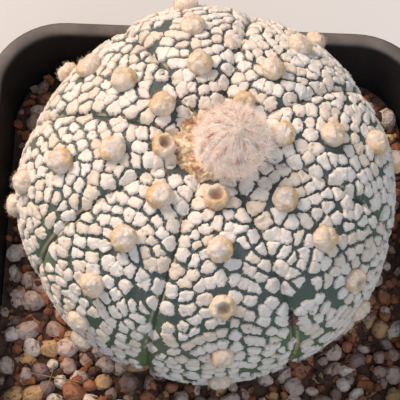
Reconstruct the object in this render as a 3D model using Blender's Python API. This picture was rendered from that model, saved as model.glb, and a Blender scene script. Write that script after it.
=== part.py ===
"""Potted star cactus, in metres, +Z up, origin at the centre of the pot's underside.

Five pieces: a square nursery pot, the gravel that fills it, the cactus with its white scales
and wool pads, the wool in the cactus's crown, and the flower bud that stands in that wool.

The cactus is drawn from one profile and one idea. Every scale and every wool pad has a seed
on the skin. The convex hull of the seeds on a ball joins each seed to its true neighbours,
and the dual of that hull gives each seed a cell of its own. Each cell is then raised.
"""

import math
import random

import bmesh
import bpy
import numpy as np
from mathutils import Matrix, Vector

MM = 0.001
MERGE = 1e-6                  # corners closer than this are one

# Pot
POT_HEIGHT = 80 * MM
POT_HALF = 45 * MM            # half of the outer width, at the lip
POT_CORNER = 15.5 * MM        # outer corner radius of the lip
LIP_WIDTH = 3.2 * MM
LIP_DROP = 4.5 * MM
POT_WALL = 1.4 * MM
POT_TAPER = 9.0 * MM          # how far each wall comes in from the lip to the base
CORNER_LOSS = 4.0 * MM        # how much tighter its corners are at the base
EDGE_SOFT = 0.8 * MM
FLOOR_HEIGHT = 2.2 * MM       # underside of the floor above the ground
FLOOR_THICK = 1.6 * MM
FOOT_WIDTH = 4.0 * MM
FOOT_NOTCH = 14 * MM
NOTCH_ROOF = 0.6 * MM
DRAIN_RADIUS = 3.5 * MM
DRAIN_OFFSET = 17 * MM
DRAIN_SIDES = 12

# Gravel
GRAVEL_TOP = 67.5 * MM
CLEARANCE = 0.3 * MM          # between any two pieces that rest against each other
HOLE_CLEARANCE = 0.45 * MM
HOLE_SIDES = 24
HOLE_RINGS = 7                # over the cactus's underside, and again down its taproot
HOLE_ABOVE = 6 * MM           # how far the hole's cutter stands above the bed
ROOT_LOOSENESS = 2.5          # times the clearance, round the taproot
BED_CORNER_LOSS = 0.6 * MM
STONE_SPACING = 5.1 * MM
STONE_HALF_WIDTH = (2.5 * MM, 3.2 * MM)
STONE_RISE = 2.3 * MM
STONE_FULLNESS = 1.45         # a stone's half height, in rises, most of it sunk in the bed
STONE_CHIP = (0.88, 1.06)
STONE_SINK = (0.45, 0.75)     # rises that a stone's middle lies below the bed's surface
STONE_STRAY = 0.5 * MM

# Cactus body
PLANT_AXIS = Vector((-0.6 * MM, 4.0 * MM, 0))
EQUATOR_Z = 90.2 * MM
BODY_RADIUS = 34.5 * MM
BODY_HALF_HEIGHT = 26.6 * MM
SHAPE_POWER = 2.45
DIMPLE_DEPTH = 4.5 * MM
DIMPLE_RADIUS = 8.6 * MM
NECK_RADIUS = 15.0 * MM
ROOT_LENGTH = 30 * MM
ROOT_TIP_RADIUS = 1.6 * MM
ROOT_POWER = 4
RIBS = 8
FIRST_RIB_DEG = -82.6
CROWN_SHIFT_DEG = 2.3         # the ribs crowd a little away from this side
CROWN_SHIFT_RIB = 3.3
RIB_FULLNESS = (1.0, 1.02, 1.0, 1.0, 1.025, 0.97, 1.015, 1.0)
RIB_DOME = 0.6 * MM
CREASE_DEPTH = 1.0 * MM
CREASE_WIDTH = 1.3 * MM
CREASE_SNAP = 1.0 * MM        # cell corners this near a crease are drawn onto it
CREASE_BEGINS = 6.0 * MM      # distance from the axis at which the ribs are full
NECK_FADE = 8.0 * MM          # height over which they die away at the neck
BELLY = 1.2

# Wool pads, one for each areole, in the 3/8 spiral that eight ribs give
OLDEST_AREOLE = 46
AREOLE_FIRST = 0.256          # arc from the apex, as shares of the body radius
AREOLE_PITCH = 0.2235
AREOLE_GROWTH = 0.0169
SPIRAL_START_RIB = 6
SPIRAL_STEP = -3
PAD_RADIUS = 2.15 * MM
PAD_HEIGHT = 2.7 * MM
PAD_RINGS = ((1.0, 0.12), (1.0, 0.62), (0.58, 1.0))   # (share of the radius, share of the height)
PAD_KEEPOUT = 3.15 * MM
OLD_PAD_SHRINK = 0.45

# White scales, in rows that run down from each rib's crest to its creases
SCALE_SPACING = 3.95 * MM
ROW_SPACING = 3.75 * MM
ROW_SLOPE = 0.38
FIRST_ROW = 7.4 * MM
SCALE_TOP = 0.74              # share of its cell that a scale's top fills
SCALE_HEIGHT = 0.8 * MM
SCALE_JITTER = 0.45 * MM
SCALE_CLEAR_OF_GRAVEL = 2.4 * MM

# Crown wool and bud
WOOL_RADIUS = 6.0 * MM
WOOL_RISE = 3.3 * MM
WOOL_LUMP = 0.7 * MM
WOOL_TUFTS = 34
WOOL_EDGE = 0.35 * MM
WOOL_UNDERSIDE_DEG = 36       # how far below the ball's equator the underside's seeds lie
WOOL_SIDES = 12
TUFT_TOP = 0.62               # share of its cell that a tuft's top fills
PLAIN_RIM = 0.93              # tufts stop at this share of the radius
BUD_OFFSET = 3.0 * MM
BUD_AZIMUTH_DEG = -14
BUD_LEAN_DEG = 6
BUD_RADIUS = 6.8 * MM
BUD_LENGTH = 13.0 * MM
BUD_SINK = 1.3 * MM
BUD_FOOT_SHARE = 0.14         # how much of a whole egg the foot cuts off
BUD_BLUNTNESS = 0.62
BRACTS = 54
BRACTS_FROM = -0.82           # where on a unit ball the lowest bract is seeded
BRACT_HEIGHT = 0.75 * MM
BRACT_SWEEP = 0.9 * MM
BRACT_TOP = 0.34
BRACTS_BEGIN = 2.2 * MM
SOCKET_RINGS = 8
SOCKET_SIDES = 20


# ---------------------------------------------------------------- scene and small helpers

def clear_scene():
    for old in list(bpy.data.objects):
        bpy.data.objects.remove(old)


def collection(name):
    made = bpy.data.collections.new(name)
    bpy.context.scene.collection.children.link(made)
    return made


def material(name, colour, roughness, metallic=0.0):
    made = bpy.data.materials.new(name)
    made.use_nodes = True
    shader = made.node_tree.nodes["Principled BSDF"]
    shader.inputs["Base Color"].default_value = (*colour, 1)
    shader.inputs["Roughness"].default_value = roughness
    shader.inputs["Metallic"].default_value = metallic
    return made


def object_from(bm, name, home, *materials):
    bmesh.ops.recalc_face_normals(bm, faces=bm.faces)
    mesh = bpy.data.meshes.new(name)
    bm.to_mesh(mesh)
    bm.free()
    made = bpy.data.objects.new(name, mesh)
    for m in materials:
        mesh.materials.append(m)
    home.objects.link(made)
    return made


def as_cutter(made):
    made.hide_render = True
    made.display_type = "WIRE"
    return made


def boolean(target, operation, operand=None, operands=None, solver="EXACT"):
    """Applies one Boolean to target, with another object or with every object of a collection."""
    step = target.modifiers.new(operation.lower(), "BOOLEAN")
    step.operation = operation
    step.solver = solver
    if operands is None:
        step.object = operand
    else:
        step.operand_type = "COLLECTION"
        step.collection = operands
    made = bpy.data.meshes.new_from_object(target.evaluated_get(bpy.context.evaluated_depsgraph_get()))
    target.modifiers.clear()
    target.data = made


# ---------------------------------------------------------------- the cactus's profile

class Profile:
    """The body and its taproot as one turned curve, measured by arc length from the apex."""

    def __init__(self):
        radius, height = self.curve()
        step = np.hypot(np.diff(radius), np.diff(height))
        self.radius, self.height = radius, height
        self.arc = np.concatenate([[0], np.cumsum(step)])
        middle = (radius[1:] + radius[:-1]) / 2
        stretch = np.concatenate([[0], np.cumsum(step / middle)])
        equator = np.interp(math.pi / 2, self.angle, stretch[:len(self.angle)])
        self.polar = 2 * np.arctan(np.exp(stretch - equator))

    def curve(self):
        neck = math.pi - math.asin((NECK_RADIUS / BODY_RADIUS) ** (SHAPE_POWER / 2))
        self.angle = np.linspace(1e-4, neck, 500)
        s, c = np.sin(self.angle), np.cos(self.angle)
        radius = BODY_RADIUS * s ** (2 / SHAPE_POWER)
        height = BODY_HALF_HEIGHT * np.sign(c) * np.abs(c) ** (2 / SHAPE_POWER)
        height -= np.where(c > 0, DIMPLE_DEPTH * np.exp(-(radius / DIMPLE_RADIUS) ** 2), 0)
        down = np.linspace(0, 1, 60)[1:]
        root = ROOT_TIP_RADIUS + (NECK_RADIUS - ROOT_TIP_RADIUS) * (1 - down) ** ROOT_POWER
        tip = np.array([1e-6])
        return (np.concatenate([radius, root, tip]),
                np.concatenate([height, height[-1] - down * ROOT_LENGTH, [height[-1] - ROOT_LENGTH - MM]]))

    def height_over_crown(self, radius):
        """Height of the skin at a distance from the axis, on the upper half."""
        upper = self.angle < math.pi / 2
        turned = len(self.angle)
        return float(np.interp(radius, self.radius[:turned][upper], self.height[:turned][upper]))

    def radius_at(self, arc):
        return float(np.interp(arc, self.arc, self.radius))

    def height_at(self, arc):
        return float(np.interp(arc, self.arc, self.height))

    def arc_at_polar(self, polar):
        return float(np.interp(polar, self.polar, self.arc))

    def polar_at(self, arc):
        return float(np.interp(arc, self.arc, self.polar))

    def arc_at_height(self, height):
        """The arc where the lower half of the body is at this height."""
        lower = self.height[::-1]
        return float(np.interp(height, lower[self.rising(lower)], self.arc[::-1][self.rising(lower)]))

    @staticmethod
    def rising(heights):
        return np.concatenate([[True], np.diff(np.maximum.accumulate(heights)) > 0])


BODY = Profile()


def rib_azimuth(rib):
    crowding = CROWN_SHIFT_DEG * math.cos(math.tau / RIBS * (rib - CROWN_SHIFT_RIB))
    return math.radians(FIRST_RIB_DEG + 360 / RIBS * rib + crowding)


def rib_at(azimuth):
    """The rib that holds this azimuth, and how far across it, from -1 at one crease to 1 at the next."""
    for rib in range(RIBS):
        before = (rib_azimuth(rib - 1) + rib_azimuth(rib)) / 2
        after = (rib_azimuth(rib) + rib_azimuth(rib + 1)) / 2
        turn = (azimuth - before) % math.tau
        if turn <= after - before:
            middle = rib_azimuth(rib) - before
            span = middle if turn < middle else after - before - middle
            return rib, (turn - middle) / span
    return 0, 0.0


def fullness(rib, across):
    """The rib's own size at its crest, shared evenly with its neighbour at the crease."""
    neighbour = RIB_FULLNESS[(rib + (1 if across > 0 else -1)) % RIBS]
    share = 0.5 * across ** 2
    return RIB_FULLNESS[rib % RIBS] * (1 - share) + neighbour * share


def skin_point(arc, azimuth):
    """A point on the ribbed skin, in the cactus's own frame with its equator at height 0."""
    radius, height = BODY.radius_at(arc), BODY.height_at(arc)
    rib, across = rib_at(azimuth)
    from_crease = (1 - abs(across)) * radius * math.pi / RIBS
    above_neck = min(1.0, max(0.0, (height + BODY_HALF_HEIGHT) / NECK_FADE))
    belly = min(1.0, radius / BODY_RADIUS * BELLY)
    inward = RIB_DOME * belly * abs(across) ** 2.5
    inward += CREASE_DEPTH * math.exp(-(from_crease / CREASE_WIDTH) ** 2)
    inward *= above_neck * min(1.0, radius / CREASE_BEGINS)
    step = 0.2 * MM
    slope = math.atan2(BODY.height_at(arc + step) - BODY.height_at(arc - step),
                       BODY.radius_at(arc + step) - BODY.radius_at(arc - step))
    out = 1 + (fullness(rib, across) - 1) * above_neck
    radius = radius * out + math.sin(slope) * inward
    height = height - math.cos(slope) * inward
    return Vector((radius * math.cos(azimuth), radius * math.sin(azimuth), height))


def skin_normal(arc, azimuth):
    step = 0.5 * MM
    turn = step / max(step, BODY.radius_at(arc))
    down = skin_point(arc + step, azimuth) - skin_point(arc - step, azimuth)
    round_it = skin_point(arc, azimuth + turn) - skin_point(arc, azimuth - turn)
    return down.cross(round_it).normalized()


# ---------------------------------------------------------------- seeds

def areoles():
    """(rib, arc) of every wool pad outside the crown. Each next one is three ribs on, as real ones are."""
    found = []
    for order in range(OLDEST_AREOLE + 1):
        age = order / RIBS
        arc = (AREOLE_FIRST + AREOLE_PITCH * age + AREOLE_GROWTH * age ** 2) * BODY_RADIUS
        found.append(((SPIRAL_START_RIB + SPIRAL_STEP * order) % RIBS, arc))
    return found


def scale_rows(dice, lowest_arc):
    """(arc, azimuth) of every scale. Rows fall from the crest, and their ends mirror at the crease."""
    for number in range(int((lowest_arc - FIRST_ROW) / ROW_SPACING) + 2):
        for rib in range(RIBS):
            for side in (-1, 1):
                yield from half_row(dice, FIRST_ROW + number * ROW_SPACING, number % 2, rib, side, lowest_arc)


def half_row(dice, crest_arc, odd, rib, side, lowest_arc):
    half_width = BODY.radius_at(crest_arc + 2 * MM) * math.pi / RIBS
    whole = max(1, round(half_width / SCALE_SPACING))
    pitch = half_width / (whole - 0.5 * odd)
    for place in range(whole):
        reach = half_width - (place + 0.5) * pitch
        if reach < 0.1 * MM and side < 0:
            continue
        wander = 0 if place == 0 else SCALE_JITTER
        arc = crest_arc + ROW_SLOPE * reach + dice.uniform(-1, 1) * wander
        across = reach + dice.uniform(-1, 1) * wander
        if arc < lowest_arc:
            yield arc, across_to_azimuth(rib, side * across / half_width)


def snap_to_crease(arc, azimuth):
    rib, across = rib_at(azimuth)
    near = (1 - abs(across)) * BODY.radius_at(arc) * math.pi / RIBS < CREASE_SNAP
    return across_to_azimuth(rib, math.copysign(1, across)) if near else azimuth


def across_to_azimuth(rib, across):
    neighbour = rib_azimuth(rib + (1 if across > 0 else -1))
    return rib_azimuth(rib) + abs(across) * (neighbour - rib_azimuth(rib)) / 2


def ball_point(arc, azimuth):
    polar = BODY.polar_at(arc)
    return Vector((math.sin(polar) * math.cos(azimuth), math.sin(polar) * math.sin(azimuth), math.cos(polar)))


def hidden_rings(soil_arc):
    """Seeds of the plain cells: under the crown wool, below the gravel and down the taproot."""
    end = float(BODY.arc[-1])
    neck = float(BODY.arc[len(BODY.angle) - 1])
    rings = [(0.0, 1), (5.0 * MM, RIBS), (soil_arc + 1.6 * MM, 32), (soil_arc + 7 * MM, 20),
             (neck, 12), (neck + 8 * MM, 10), (neck + 16 * MM, 8), (neck + 26 * MM, 6), (end, 1)]
    for arc, count in rings:
        for place in range(count):
            yield arc, rib_azimuth(0) + math.tau * (place + 0.5) / count


# ---------------------------------------------------------------- cells

def dual_of_hull(points):
    """A closed mesh of cells on the unit ball, by the Dual Mesh node, with each face's point number."""
    bm = bmesh.new()
    number = bm.verts.layers.int.new("seed")
    for place, point in enumerate(points):
        bm.verts.new(point)[number] = place
    bmesh.ops.convex_hull(bm, input=bm.verts)
    mesh = bpy.data.meshes.new("hull")
    bm.to_mesh(mesh)
    bm.free()
    hull = bpy.data.objects.new("hull", mesh)
    bpy.context.scene.collection.objects.link(hull)
    tree = bpy.data.node_groups.new("dual", "GeometryNodeTree")
    tree.interface.new_socket("Mesh", in_out="INPUT", socket_type="NodeSocketGeometry")
    tree.interface.new_socket("Cells", in_out="OUTPUT", socket_type="NodeSocketGeometry")
    start, dual, end = (tree.nodes.new(kind) for kind in
                        ("NodeGroupInput", "GeometryNodeDualMesh", "NodeGroupOutput"))
    tree.links.new(start.outputs[0], dual.inputs[0])
    tree.links.new(dual.outputs[0], end.inputs[0])
    hull.modifiers.new("dual", "NODES").node_group = tree
    cells = bpy.data.meshes.new_from_object(hull.evaluated_get(bpy.context.evaluated_depsgraph_get()))
    bpy.data.objects.remove(hull)
    bm = bmesh.new()
    bm.from_mesh(cells)
    bmesh.ops.recalc_face_normals(bm, faces=bm.faces)
    number = bm.faces.layers.int["seed"]
    return bm, {face: face[number] for face in bm.faces}


def raise_cell(bm, face, share, lift, sweep=Vector((0, 0, 0)), mark=0):
    """Raises one cell: its top is a share of its size, lifted along its normal and swept aside on request."""
    normal = face.normal.copy()
    walls = bmesh.ops.extrude_discrete_faces(bm, faces=[face])["faces"]
    top = walls[0]
    centre = top.calc_center_median()
    for corner in top.verts:
        corner.co = centre + (corner.co - centre) * share + normal * lift + sweep
    top.material_index = mark
    for wall in {f for edge in top.edges for f in edge.link_faces}:
        wall.material_index = mark
    return top


# ---------------------------------------------------------------- pieces

def cactus_body(home):
    soil_arc = BODY.arc_at_height(GRAVEL_TOP - EQUATOR_Z)
    pads = areoles()
    pad_seeds = [(arc, rib_azimuth(rib)) for rib, arc in pads]
    pad_places = [skin_point(*seed) for seed in pad_seeds]
    dice = random.Random(38)
    scale_seeds = [seed for seed in scale_rows(dice, soil_arc - 1.2 * MM)
                   if min((skin_point(*seed) - p).length for p in pad_places) > PAD_KEEPOUT]
    plain_seeds = list(hidden_rings(soil_arc))
    seeds = pad_seeds + scale_seeds + plain_seeds
    bm, kinds = dual_of_hull([ball_point(*seed) for seed in seeds])
    for corner in bm.verts:
        way = corner.co.normalized()
        arc = BODY.arc_at_polar(math.acos(way.z))
        corner.co = skin_point(arc, snap_to_crease(arc, math.atan2(way.y, way.x)))
    bm.normal_update()
    floor = GRAVEL_TOP - EQUATOR_Z + SCALE_CLEAR_OF_GRAVEL
    for face, seed in kinds.items():
        lowest = min(corner.co.z for corner in face.verts)
        if seed >= len(pad_seeds) + len(scale_seeds) or lowest < floor:
            continue
        if seed < len(pad_seeds):
            wool_pad(bm, face, *pad_seeds[seed])
        else:
            raise_cell(bm, face, SCALE_TOP, SCALE_HEIGHT * dice.uniform(0.8, 1.15), mark=1)
    bmesh.ops.translate(bm, verts=bm.verts, vec=PLANT_AXIS + Vector((0, 0, EQUATOR_Z)))
    return object_from(bm, "cactus_body", home,
                       material("cactus skin", (0.13, 0.19, 0.12), 0.55),
                       material("cactus scales", (0.80, 0.76, 0.68), 0.95),
                       material("areole wool", (0.74, 0.58, 0.38), 1.0))


def wool_pad(bm, face, arc, azimuth):
    """A round pad of wool in three rings, flatter on the old areoles low on the body."""
    age = min(1.0, max(0.0, arc / BODY_RADIUS - 1.0))
    height = PAD_HEIGHT * (1 - OLD_PAD_SHRINK * age)
    centre, normal = skin_point(arc, azimuth), skin_normal(arc, azimuth)
    for share, rise in PAD_RINGS:
        face = raise_cell(bm, face, 1.0, 0.0, mark=2)
        for corner in face.verts:
            arm = corner.co - centre
            arm -= normal * arm.dot(normal)
            corner.co = centre + arm.normalized() * PAD_RADIUS * share + normal * height * rise


def spiral_point(number, height):
    """The next point of a golden spiral on the unit ball, at this height."""
    spin, flat = number * math.pi * (3 - math.sqrt(5)), math.sqrt(1 - height ** 2)
    return Vector((flat * math.cos(spin), flat * math.sin(spin), height))


def crown_wool(home, bud):
    """The wool in the crown's dimple: tufts on a low cushion, its underside just clear of the skin."""
    dice = random.Random(8)
    tufts = [spiral_point(number, 1 - 1.02 * (number + 0.5) / WOOL_TUFTS) for number in range(WOOL_TUFTS)]
    flat, low = math.cos(math.radians(WOOL_UNDERSIDE_DEG)), -math.sin(math.radians(WOOL_UNDERSIDE_DEG))
    under = [Vector((flat * math.cos(turn), flat * math.sin(turn), low))
             for turn in np.linspace(0, math.tau, WOOL_SIDES, endpoint=False)] + [Vector((0, 0, -1))]
    bm, kinds = dual_of_hull(tufts + under)
    for corner in bm.verts:
        way = corner.co.normalized()
        reach = WOOL_RADIUS * math.sqrt(max(0.0, 1 - way.z ** 2)) ** 0.8
        skin = BODY.height_over_crown(reach) + 1.5 * CLEARANCE
        if way.z > 0:
            height = skin + WOOL_EDGE + WOOL_RISE * way.z * (1 - (reach / WOOL_RADIUS) ** 2 * 0.5)
        else:
            height = skin + CLEARANCE * (1 + way.z)
        corner.co = Vector((way.x, way.y, 0)).normalized() * reach + Vector((0, 0, height))
    bm.normal_update()
    for face, seed in kinds.items():
        if seed < len(tufts) and face.calc_center_median().xy.length < WOOL_RADIUS * PLAIN_RIM:
            raise_cell(bm, face, TUFT_TOP, WOOL_LUMP * dice.uniform(0.7, 1.3))
    bmesh.ops.translate(bm, verts=bm.verts, vec=PLANT_AXIS + Vector((0, 0, EQUATOR_Z)))
    made = object_from(bm, "crown_wool", home, material("crown wool", (0.70, 0.47, 0.27), 1.0))
    boolean(made, "DIFFERENCE", bud)
    return made


def bud_frame():
    """Where the bud stands: on the crown, a little off its centre, and leaning outwards."""
    azimuth = math.radians(BUD_AZIMUTH_DEG)
    skin = BODY.height_over_crown(BUD_OFFSET)
    foot = PLANT_AXIS + Vector((BUD_OFFSET * math.cos(azimuth), BUD_OFFSET * math.sin(azimuth),
                                EQUATOR_Z + skin + WOOL_RISE - BUD_SINK))
    lean = Matrix.Rotation(math.radians(BUD_LEAN_DEG), 4, Vector((-math.sin(azimuth), math.cos(azimuth), 0)))
    return Matrix.Translation(foot) @ lean


def bud_profile(share):
    """(radius, height) of the egg-shaped bud at a share of the way from its foot to its tip."""
    swell = math.sin(math.pi * min(1.0, share * (1 - BUD_FOOT_SHARE) + BUD_FOOT_SHARE)) ** BUD_BLUNTNESS
    return BUD_RADIUS * swell, BUD_LENGTH * share


def flower_bud(home):
    """An egg of overlapping bracts, each a cell drawn up to a blunt point that leans towards the tip."""
    seeds = [Vector((0, 0, -1))]
    seeds += [spiral_point(number, BRACTS_FROM + 1.8 * (number + 0.5) / BRACTS) for number in range(BRACTS)]
    bm, kinds = dual_of_hull(seeds)
    foot_height = min(corner.co.normalized().z for corner in bm.verts)
    for corner in bm.verts:
        way = corner.co.normalized()
        radius, height = bud_profile((way.z - foot_height) / (1 - foot_height))
        corner.co = Vector((way.x, way.y, 0)).normalized() * radius + Vector((0, 0, height))
    bm.normal_update()
    for face, seed in kinds.items():
        if seed == 0 or face.calc_center_median().z < BRACTS_BEGIN:
            continue
        tip = Vector((0, 0, 1)) - face.normal * face.normal.z
        raise_cell(bm, face, BRACT_TOP, BRACT_HEIGHT, sweep=tip * BRACT_SWEEP)
    bmesh.ops.transform(bm, matrix=bud_frame(), verts=bm.verts)
    return object_from(bm, "flower_bud", home, material("bud wool", (0.78, 0.66, 0.58), 1.0))


def bud_socket(home):
    """The space that the crown wool leaves for the bud: the bud's own form, grown by its clearance."""
    grow = BRACT_HEIGHT * 0.4 + CLEARANCE
    bm = bmesh.new()
    points = []
    for number in range(SOCKET_RINGS + 1):
        radius, height = bud_profile(number / SOCKET_RINGS)
        points.append(bm.verts.new((radius + grow, 0, height + (grow if number else -CLEARANCE))))
    foot = bm.verts.new((0, 0, -CLEARANCE))
    top = bm.verts.new((0, 0, BUD_LENGTH + 2 * grow))
    line = [foot, *points, top]
    edges = [bm.edges.new(pair) for pair in zip(line, line[1:])]
    bmesh.ops.spin(bm, geom=line + edges, axis=(0, 0, 1), cent=(0, 0, 0), steps=SOCKET_SIDES, angle=math.tau)
    bmesh.ops.remove_doubles(bm, verts=bm.verts, dist=MERGE)
    bmesh.ops.transform(bm, matrix=bud_frame(), verts=bm.verts)
    return as_cutter(object_from(bm, "bud_socket", home))


def rounded_square(half, corner, height, steps=5):
    """Points round a square with rounded corners."""
    ring = []
    for quarter in range(4):
        for step in range(steps):
            turn = math.pi / 2 * step / (steps - 1)
            point = Vector((math.cos(turn), math.sin(turn), 0)) * corner
            point += Vector((half - corner, half - corner, height))
            ring.append(Matrix.Rotation(math.pi / 2 * quarter, 3, "Z") @ point)
    return ring


def lofted_square(stations):
    """A closed solid extruded through rounded squares: (half width, corner radius, height) for each."""
    bm = bmesh.new()
    cap = bm.faces.new([bm.verts.new(point) for point in rounded_square(*stations[0])])
    bmesh.ops.duplicate(bm, geom=[cap])     # the copy stays behind and closes the start
    for station in stations[1:]:
        cap = bmesh.ops.extrude_discrete_faces(bm, faces=[cap])["faces"][0]
        for corner, point in zip(cap.verts, rounded_square(*station)):
            corner.co = point
    bmesh.ops.remove_doubles(bm, verts=bm.verts, dist=MERGE)
    return bm


def inner_half(height):
    """Half of the pot's inner width at a height."""
    return POT_HALF - LIP_WIDTH - POT_TAPER * (POT_HEIGHT - height) / POT_HEIGHT


def square_pot(home, cutters):
    outer = POT_HALF - LIP_WIDTH + POT_WALL
    corner = POT_CORNER - LIP_WIDTH + POT_WALL
    base = outer - POT_TAPER
    floor = FLOOR_HEIGHT + FLOOR_THICK
    soft = EDGE_SOFT
    stations = (
        (base - FOOT_WIDTH, corner - FOOT_WIDTH - CORNER_LOSS, FLOOR_HEIGHT),
        (base - FOOT_WIDTH, corner - FOOT_WIDTH - CORNER_LOSS, 0),
        (base - soft, corner - soft - CORNER_LOSS, 0),
        (base, corner - CORNER_LOSS, soft),
        (outer - POT_TAPER * LIP_DROP / POT_HEIGHT, corner, POT_HEIGHT - LIP_DROP),
        (POT_HALF - soft / 2, POT_CORNER - soft / 2, POT_HEIGHT - LIP_DROP),
        (POT_HALF, POT_CORNER, POT_HEIGHT - LIP_DROP + soft),
        (POT_HALF, POT_CORNER, POT_HEIGHT - soft),
        (POT_HALF - soft, POT_CORNER - soft, POT_HEIGHT),
        (POT_HALF - LIP_WIDTH + soft, POT_CORNER - LIP_WIDTH + soft, POT_HEIGHT),
        (POT_HALF - LIP_WIDTH, POT_CORNER - LIP_WIDTH, POT_HEIGHT - soft),
        (inner_half(floor), POT_CORNER - LIP_WIDTH - CORNER_LOSS, floor),
    )
    pot = object_from(lofted_square(stations), "square_pot", home,
                      material("black pot plastic", (0.018, 0.018, 0.020), 0.55))
    for turn in (0, math.pi / 2):
        bm = bmesh.new()
        bmesh.ops.create_cube(bm, size=1)
        bmesh.ops.scale(bm, vec=(FOOT_NOTCH, 4 * POT_HALF, 2 * (FLOOR_HEIGHT - NOTCH_ROOF)), verts=bm.verts)
        bmesh.ops.rotate(bm, matrix=Matrix.Rotation(turn, 3, "Z"), verts=bm.verts)
        boolean(pot, "DIFFERENCE", as_cutter(object_from(bm, "foot_notch", cutters)))
    places = [(0, 0)] + [(x * DRAIN_OFFSET, y * DRAIN_OFFSET) for x in (-1, 1) for y in (-1, 1)]
    for x, y in places:
        bm = bmesh.new()
        bmesh.ops.create_cone(bm, cap_ends=True, segments=DRAIN_SIDES, depth=6 * FLOOR_THICK,
                              radius1=DRAIN_RADIUS, radius2=DRAIN_RADIUS,
                              matrix=Matrix.Translation((x, y, FLOOR_HEIGHT)))
        boolean(pot, "DIFFERENCE", as_cutter(object_from(bm, "drain", cutters)))
    return pot


def stone(home, dice, place):
    """One low stone: an icosahedron pressed flat, turned at random and sunk in the bed."""
    bm = bmesh.new()
    bmesh.ops.create_icosphere(bm, subdivisions=1, radius=1)
    bmesh.ops.rotate(bm, matrix=Matrix.Rotation(dice.uniform(0, math.tau), 3, Vector((1, 0.4, 0.7))),
                     verts=bm.verts)
    for corner in bm.verts:
        corner.co *= dice.uniform(*STONE_CHIP)
    long, wide = dice.uniform(*STONE_HALF_WIDTH), dice.uniform(*STONE_HALF_WIDTH)
    bmesh.ops.scale(bm, vec=(long, wide, STONE_RISE * STONE_FULLNESS), verts=bm.verts)
    bmesh.ops.rotate(bm, matrix=Matrix.Rotation(dice.uniform(0, math.tau), 3, "Z"), verts=bm.verts)
    sunk = Vector((place.x, place.y, GRAVEL_TOP - STONE_RISE * dice.uniform(*STONE_SINK)))
    bmesh.ops.translate(bm, verts=bm.verts, vec=sunk)
    return object_from(bm, "stone", home)


def stone_places(dice):
    """A loose hexagonal spread over the bed, clear of the pot's walls and of the cactus."""
    edge = inner_half(GRAVEL_TOP) - STONE_HALF_WIDTH[1] * 1.1 - CLEARANCE
    corner = POT_CORNER - LIP_WIDTH - STONE_HALF_WIDTH[1]
    keep_out = BODY.radius_at(BODY.arc_at_height(GRAVEL_TOP + STONE_RISE - EQUATOR_Z)) + STONE_HALF_WIDTH[1]
    columns = round(2 * edge / STONE_SPACING)
    rows = round(2 * edge / (STONE_SPACING * math.sqrt(0.75)))
    for row in range(rows + 1):
        for column in range(columns + 1):
            place = Vector(((column + 0.5 * (row % 2)) / columns, row / rows, 0)) * 2 * edge
            stray = Vector((dice.uniform(-1, 1), dice.uniform(-1, 1), 0)) * STONE_STRAY
            place += stray - Vector((edge, edge, 0))
            over = Vector((max(0, abs(place.x) - edge + corner), max(0, abs(place.y) - edge + corner), 0))
            if over.length < corner + 0.4 * MM and (place - PLANT_AXIS).length > keep_out:
                yield place


def gravel_bed(home, cutters):
    floor = FLOOR_HEIGHT + FLOOR_THICK + CLEARANCE
    corner = POT_CORNER - LIP_WIDTH - CLEARANCE
    bed = object_from(lofted_square((
        (inner_half(floor) - CLEARANCE, corner - CORNER_LOSS, floor),
        (inner_half(GRAVEL_TOP) - CLEARANCE, corner - BED_CORNER_LOSS, GRAVEL_TOP),
    )), "gravel_bed", home, material("gravel", (0.26, 0.15, 0.10), 0.95))
    boolean(bed, "DIFFERENCE", root_hole(cutters))
    dice = random.Random(21)
    stones = collection("stones")
    for place in stone_places(dice):
        stone(stones, dice, place)
    boolean(bed, "UNION", operands=stones)
    for made in list(stones.objects):
        bpy.data.objects.remove(made)
    return bed


def root_hole(home):
    """The plain hole that the cactus's underside and taproot stand in, turned from the same profile."""
    top = BODY.arc_at_height(GRAVEL_TOP + HOLE_ABOVE - EQUATOR_Z)
    neck, end = float(BODY.arc[len(BODY.angle) - 1]), float(BODY.arc[-1])
    grow = max(RIB_FULLNESS) / math.cos(math.pi / HOLE_SIDES)
    bm = bmesh.new()
    line = []
    for arc in (*np.linspace(top, neck, HOLE_RINGS), *np.linspace(neck, end, HOLE_RINGS)[1:]):
        loose = HOLE_CLEARANCE * (1 if arc <= neck else ROOT_LOOSENESS)
        height = BODY.height_at(arc) - HOLE_CLEARANCE
        line.append(bm.verts.new((BODY.radius_at(arc) * grow + loose, 0, height)))
    first = bm.verts.new((0, 0, line[0].co.z))
    last = bm.verts.new((0, 0, line[-1].co.z - HOLE_CLEARANCE))
    line = [first, *line, last]
    edges = [bm.edges.new(pair) for pair in zip(line, line[1:])]
    bmesh.ops.spin(bm, geom=line + edges, axis=(0, 0, 1), cent=(0, 0, 0), steps=HOLE_SIDES, angle=math.tau)
    bmesh.ops.remove_doubles(bm, verts=bm.verts, dist=MERGE)
    bmesh.ops.translate(bm, verts=bm.verts, vec=PLANT_AXIS + Vector((0, 0, EQUATOR_Z)))
    return as_cutter(object_from(bm, "root_hole", home))


def main():
    clear_scene()
    home = collection("potted_star_cactus")
    cutters = collection("cutters")
    square_pot(home, cutters)
    gravel_bed(home, cutters)
    cactus_body(home)
    flower_bud(home)
    crown_wool(home, bud_socket(cutters))


main()
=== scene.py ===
# %% [markdown]
# # A star cactus in its nursery pot
#
# The plant is a flattened ball of eight broad ribs. It has no spines. Two things cover it
# instead: hundreds of small plates of white felt, and a row of woolly cushions, the areoles,
# along the crest of each rib. A bud wrapped in silky hair stands in the wool of the crown.
# The pot is a square black one from a nursery, filled with a gravel of lava and pebbles.
#
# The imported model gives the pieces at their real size. The cells below give them their looks.

import math
import random

import bmesh
import bpy
import numpy as np
from mathutils import Matrix, Vector, noise


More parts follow.
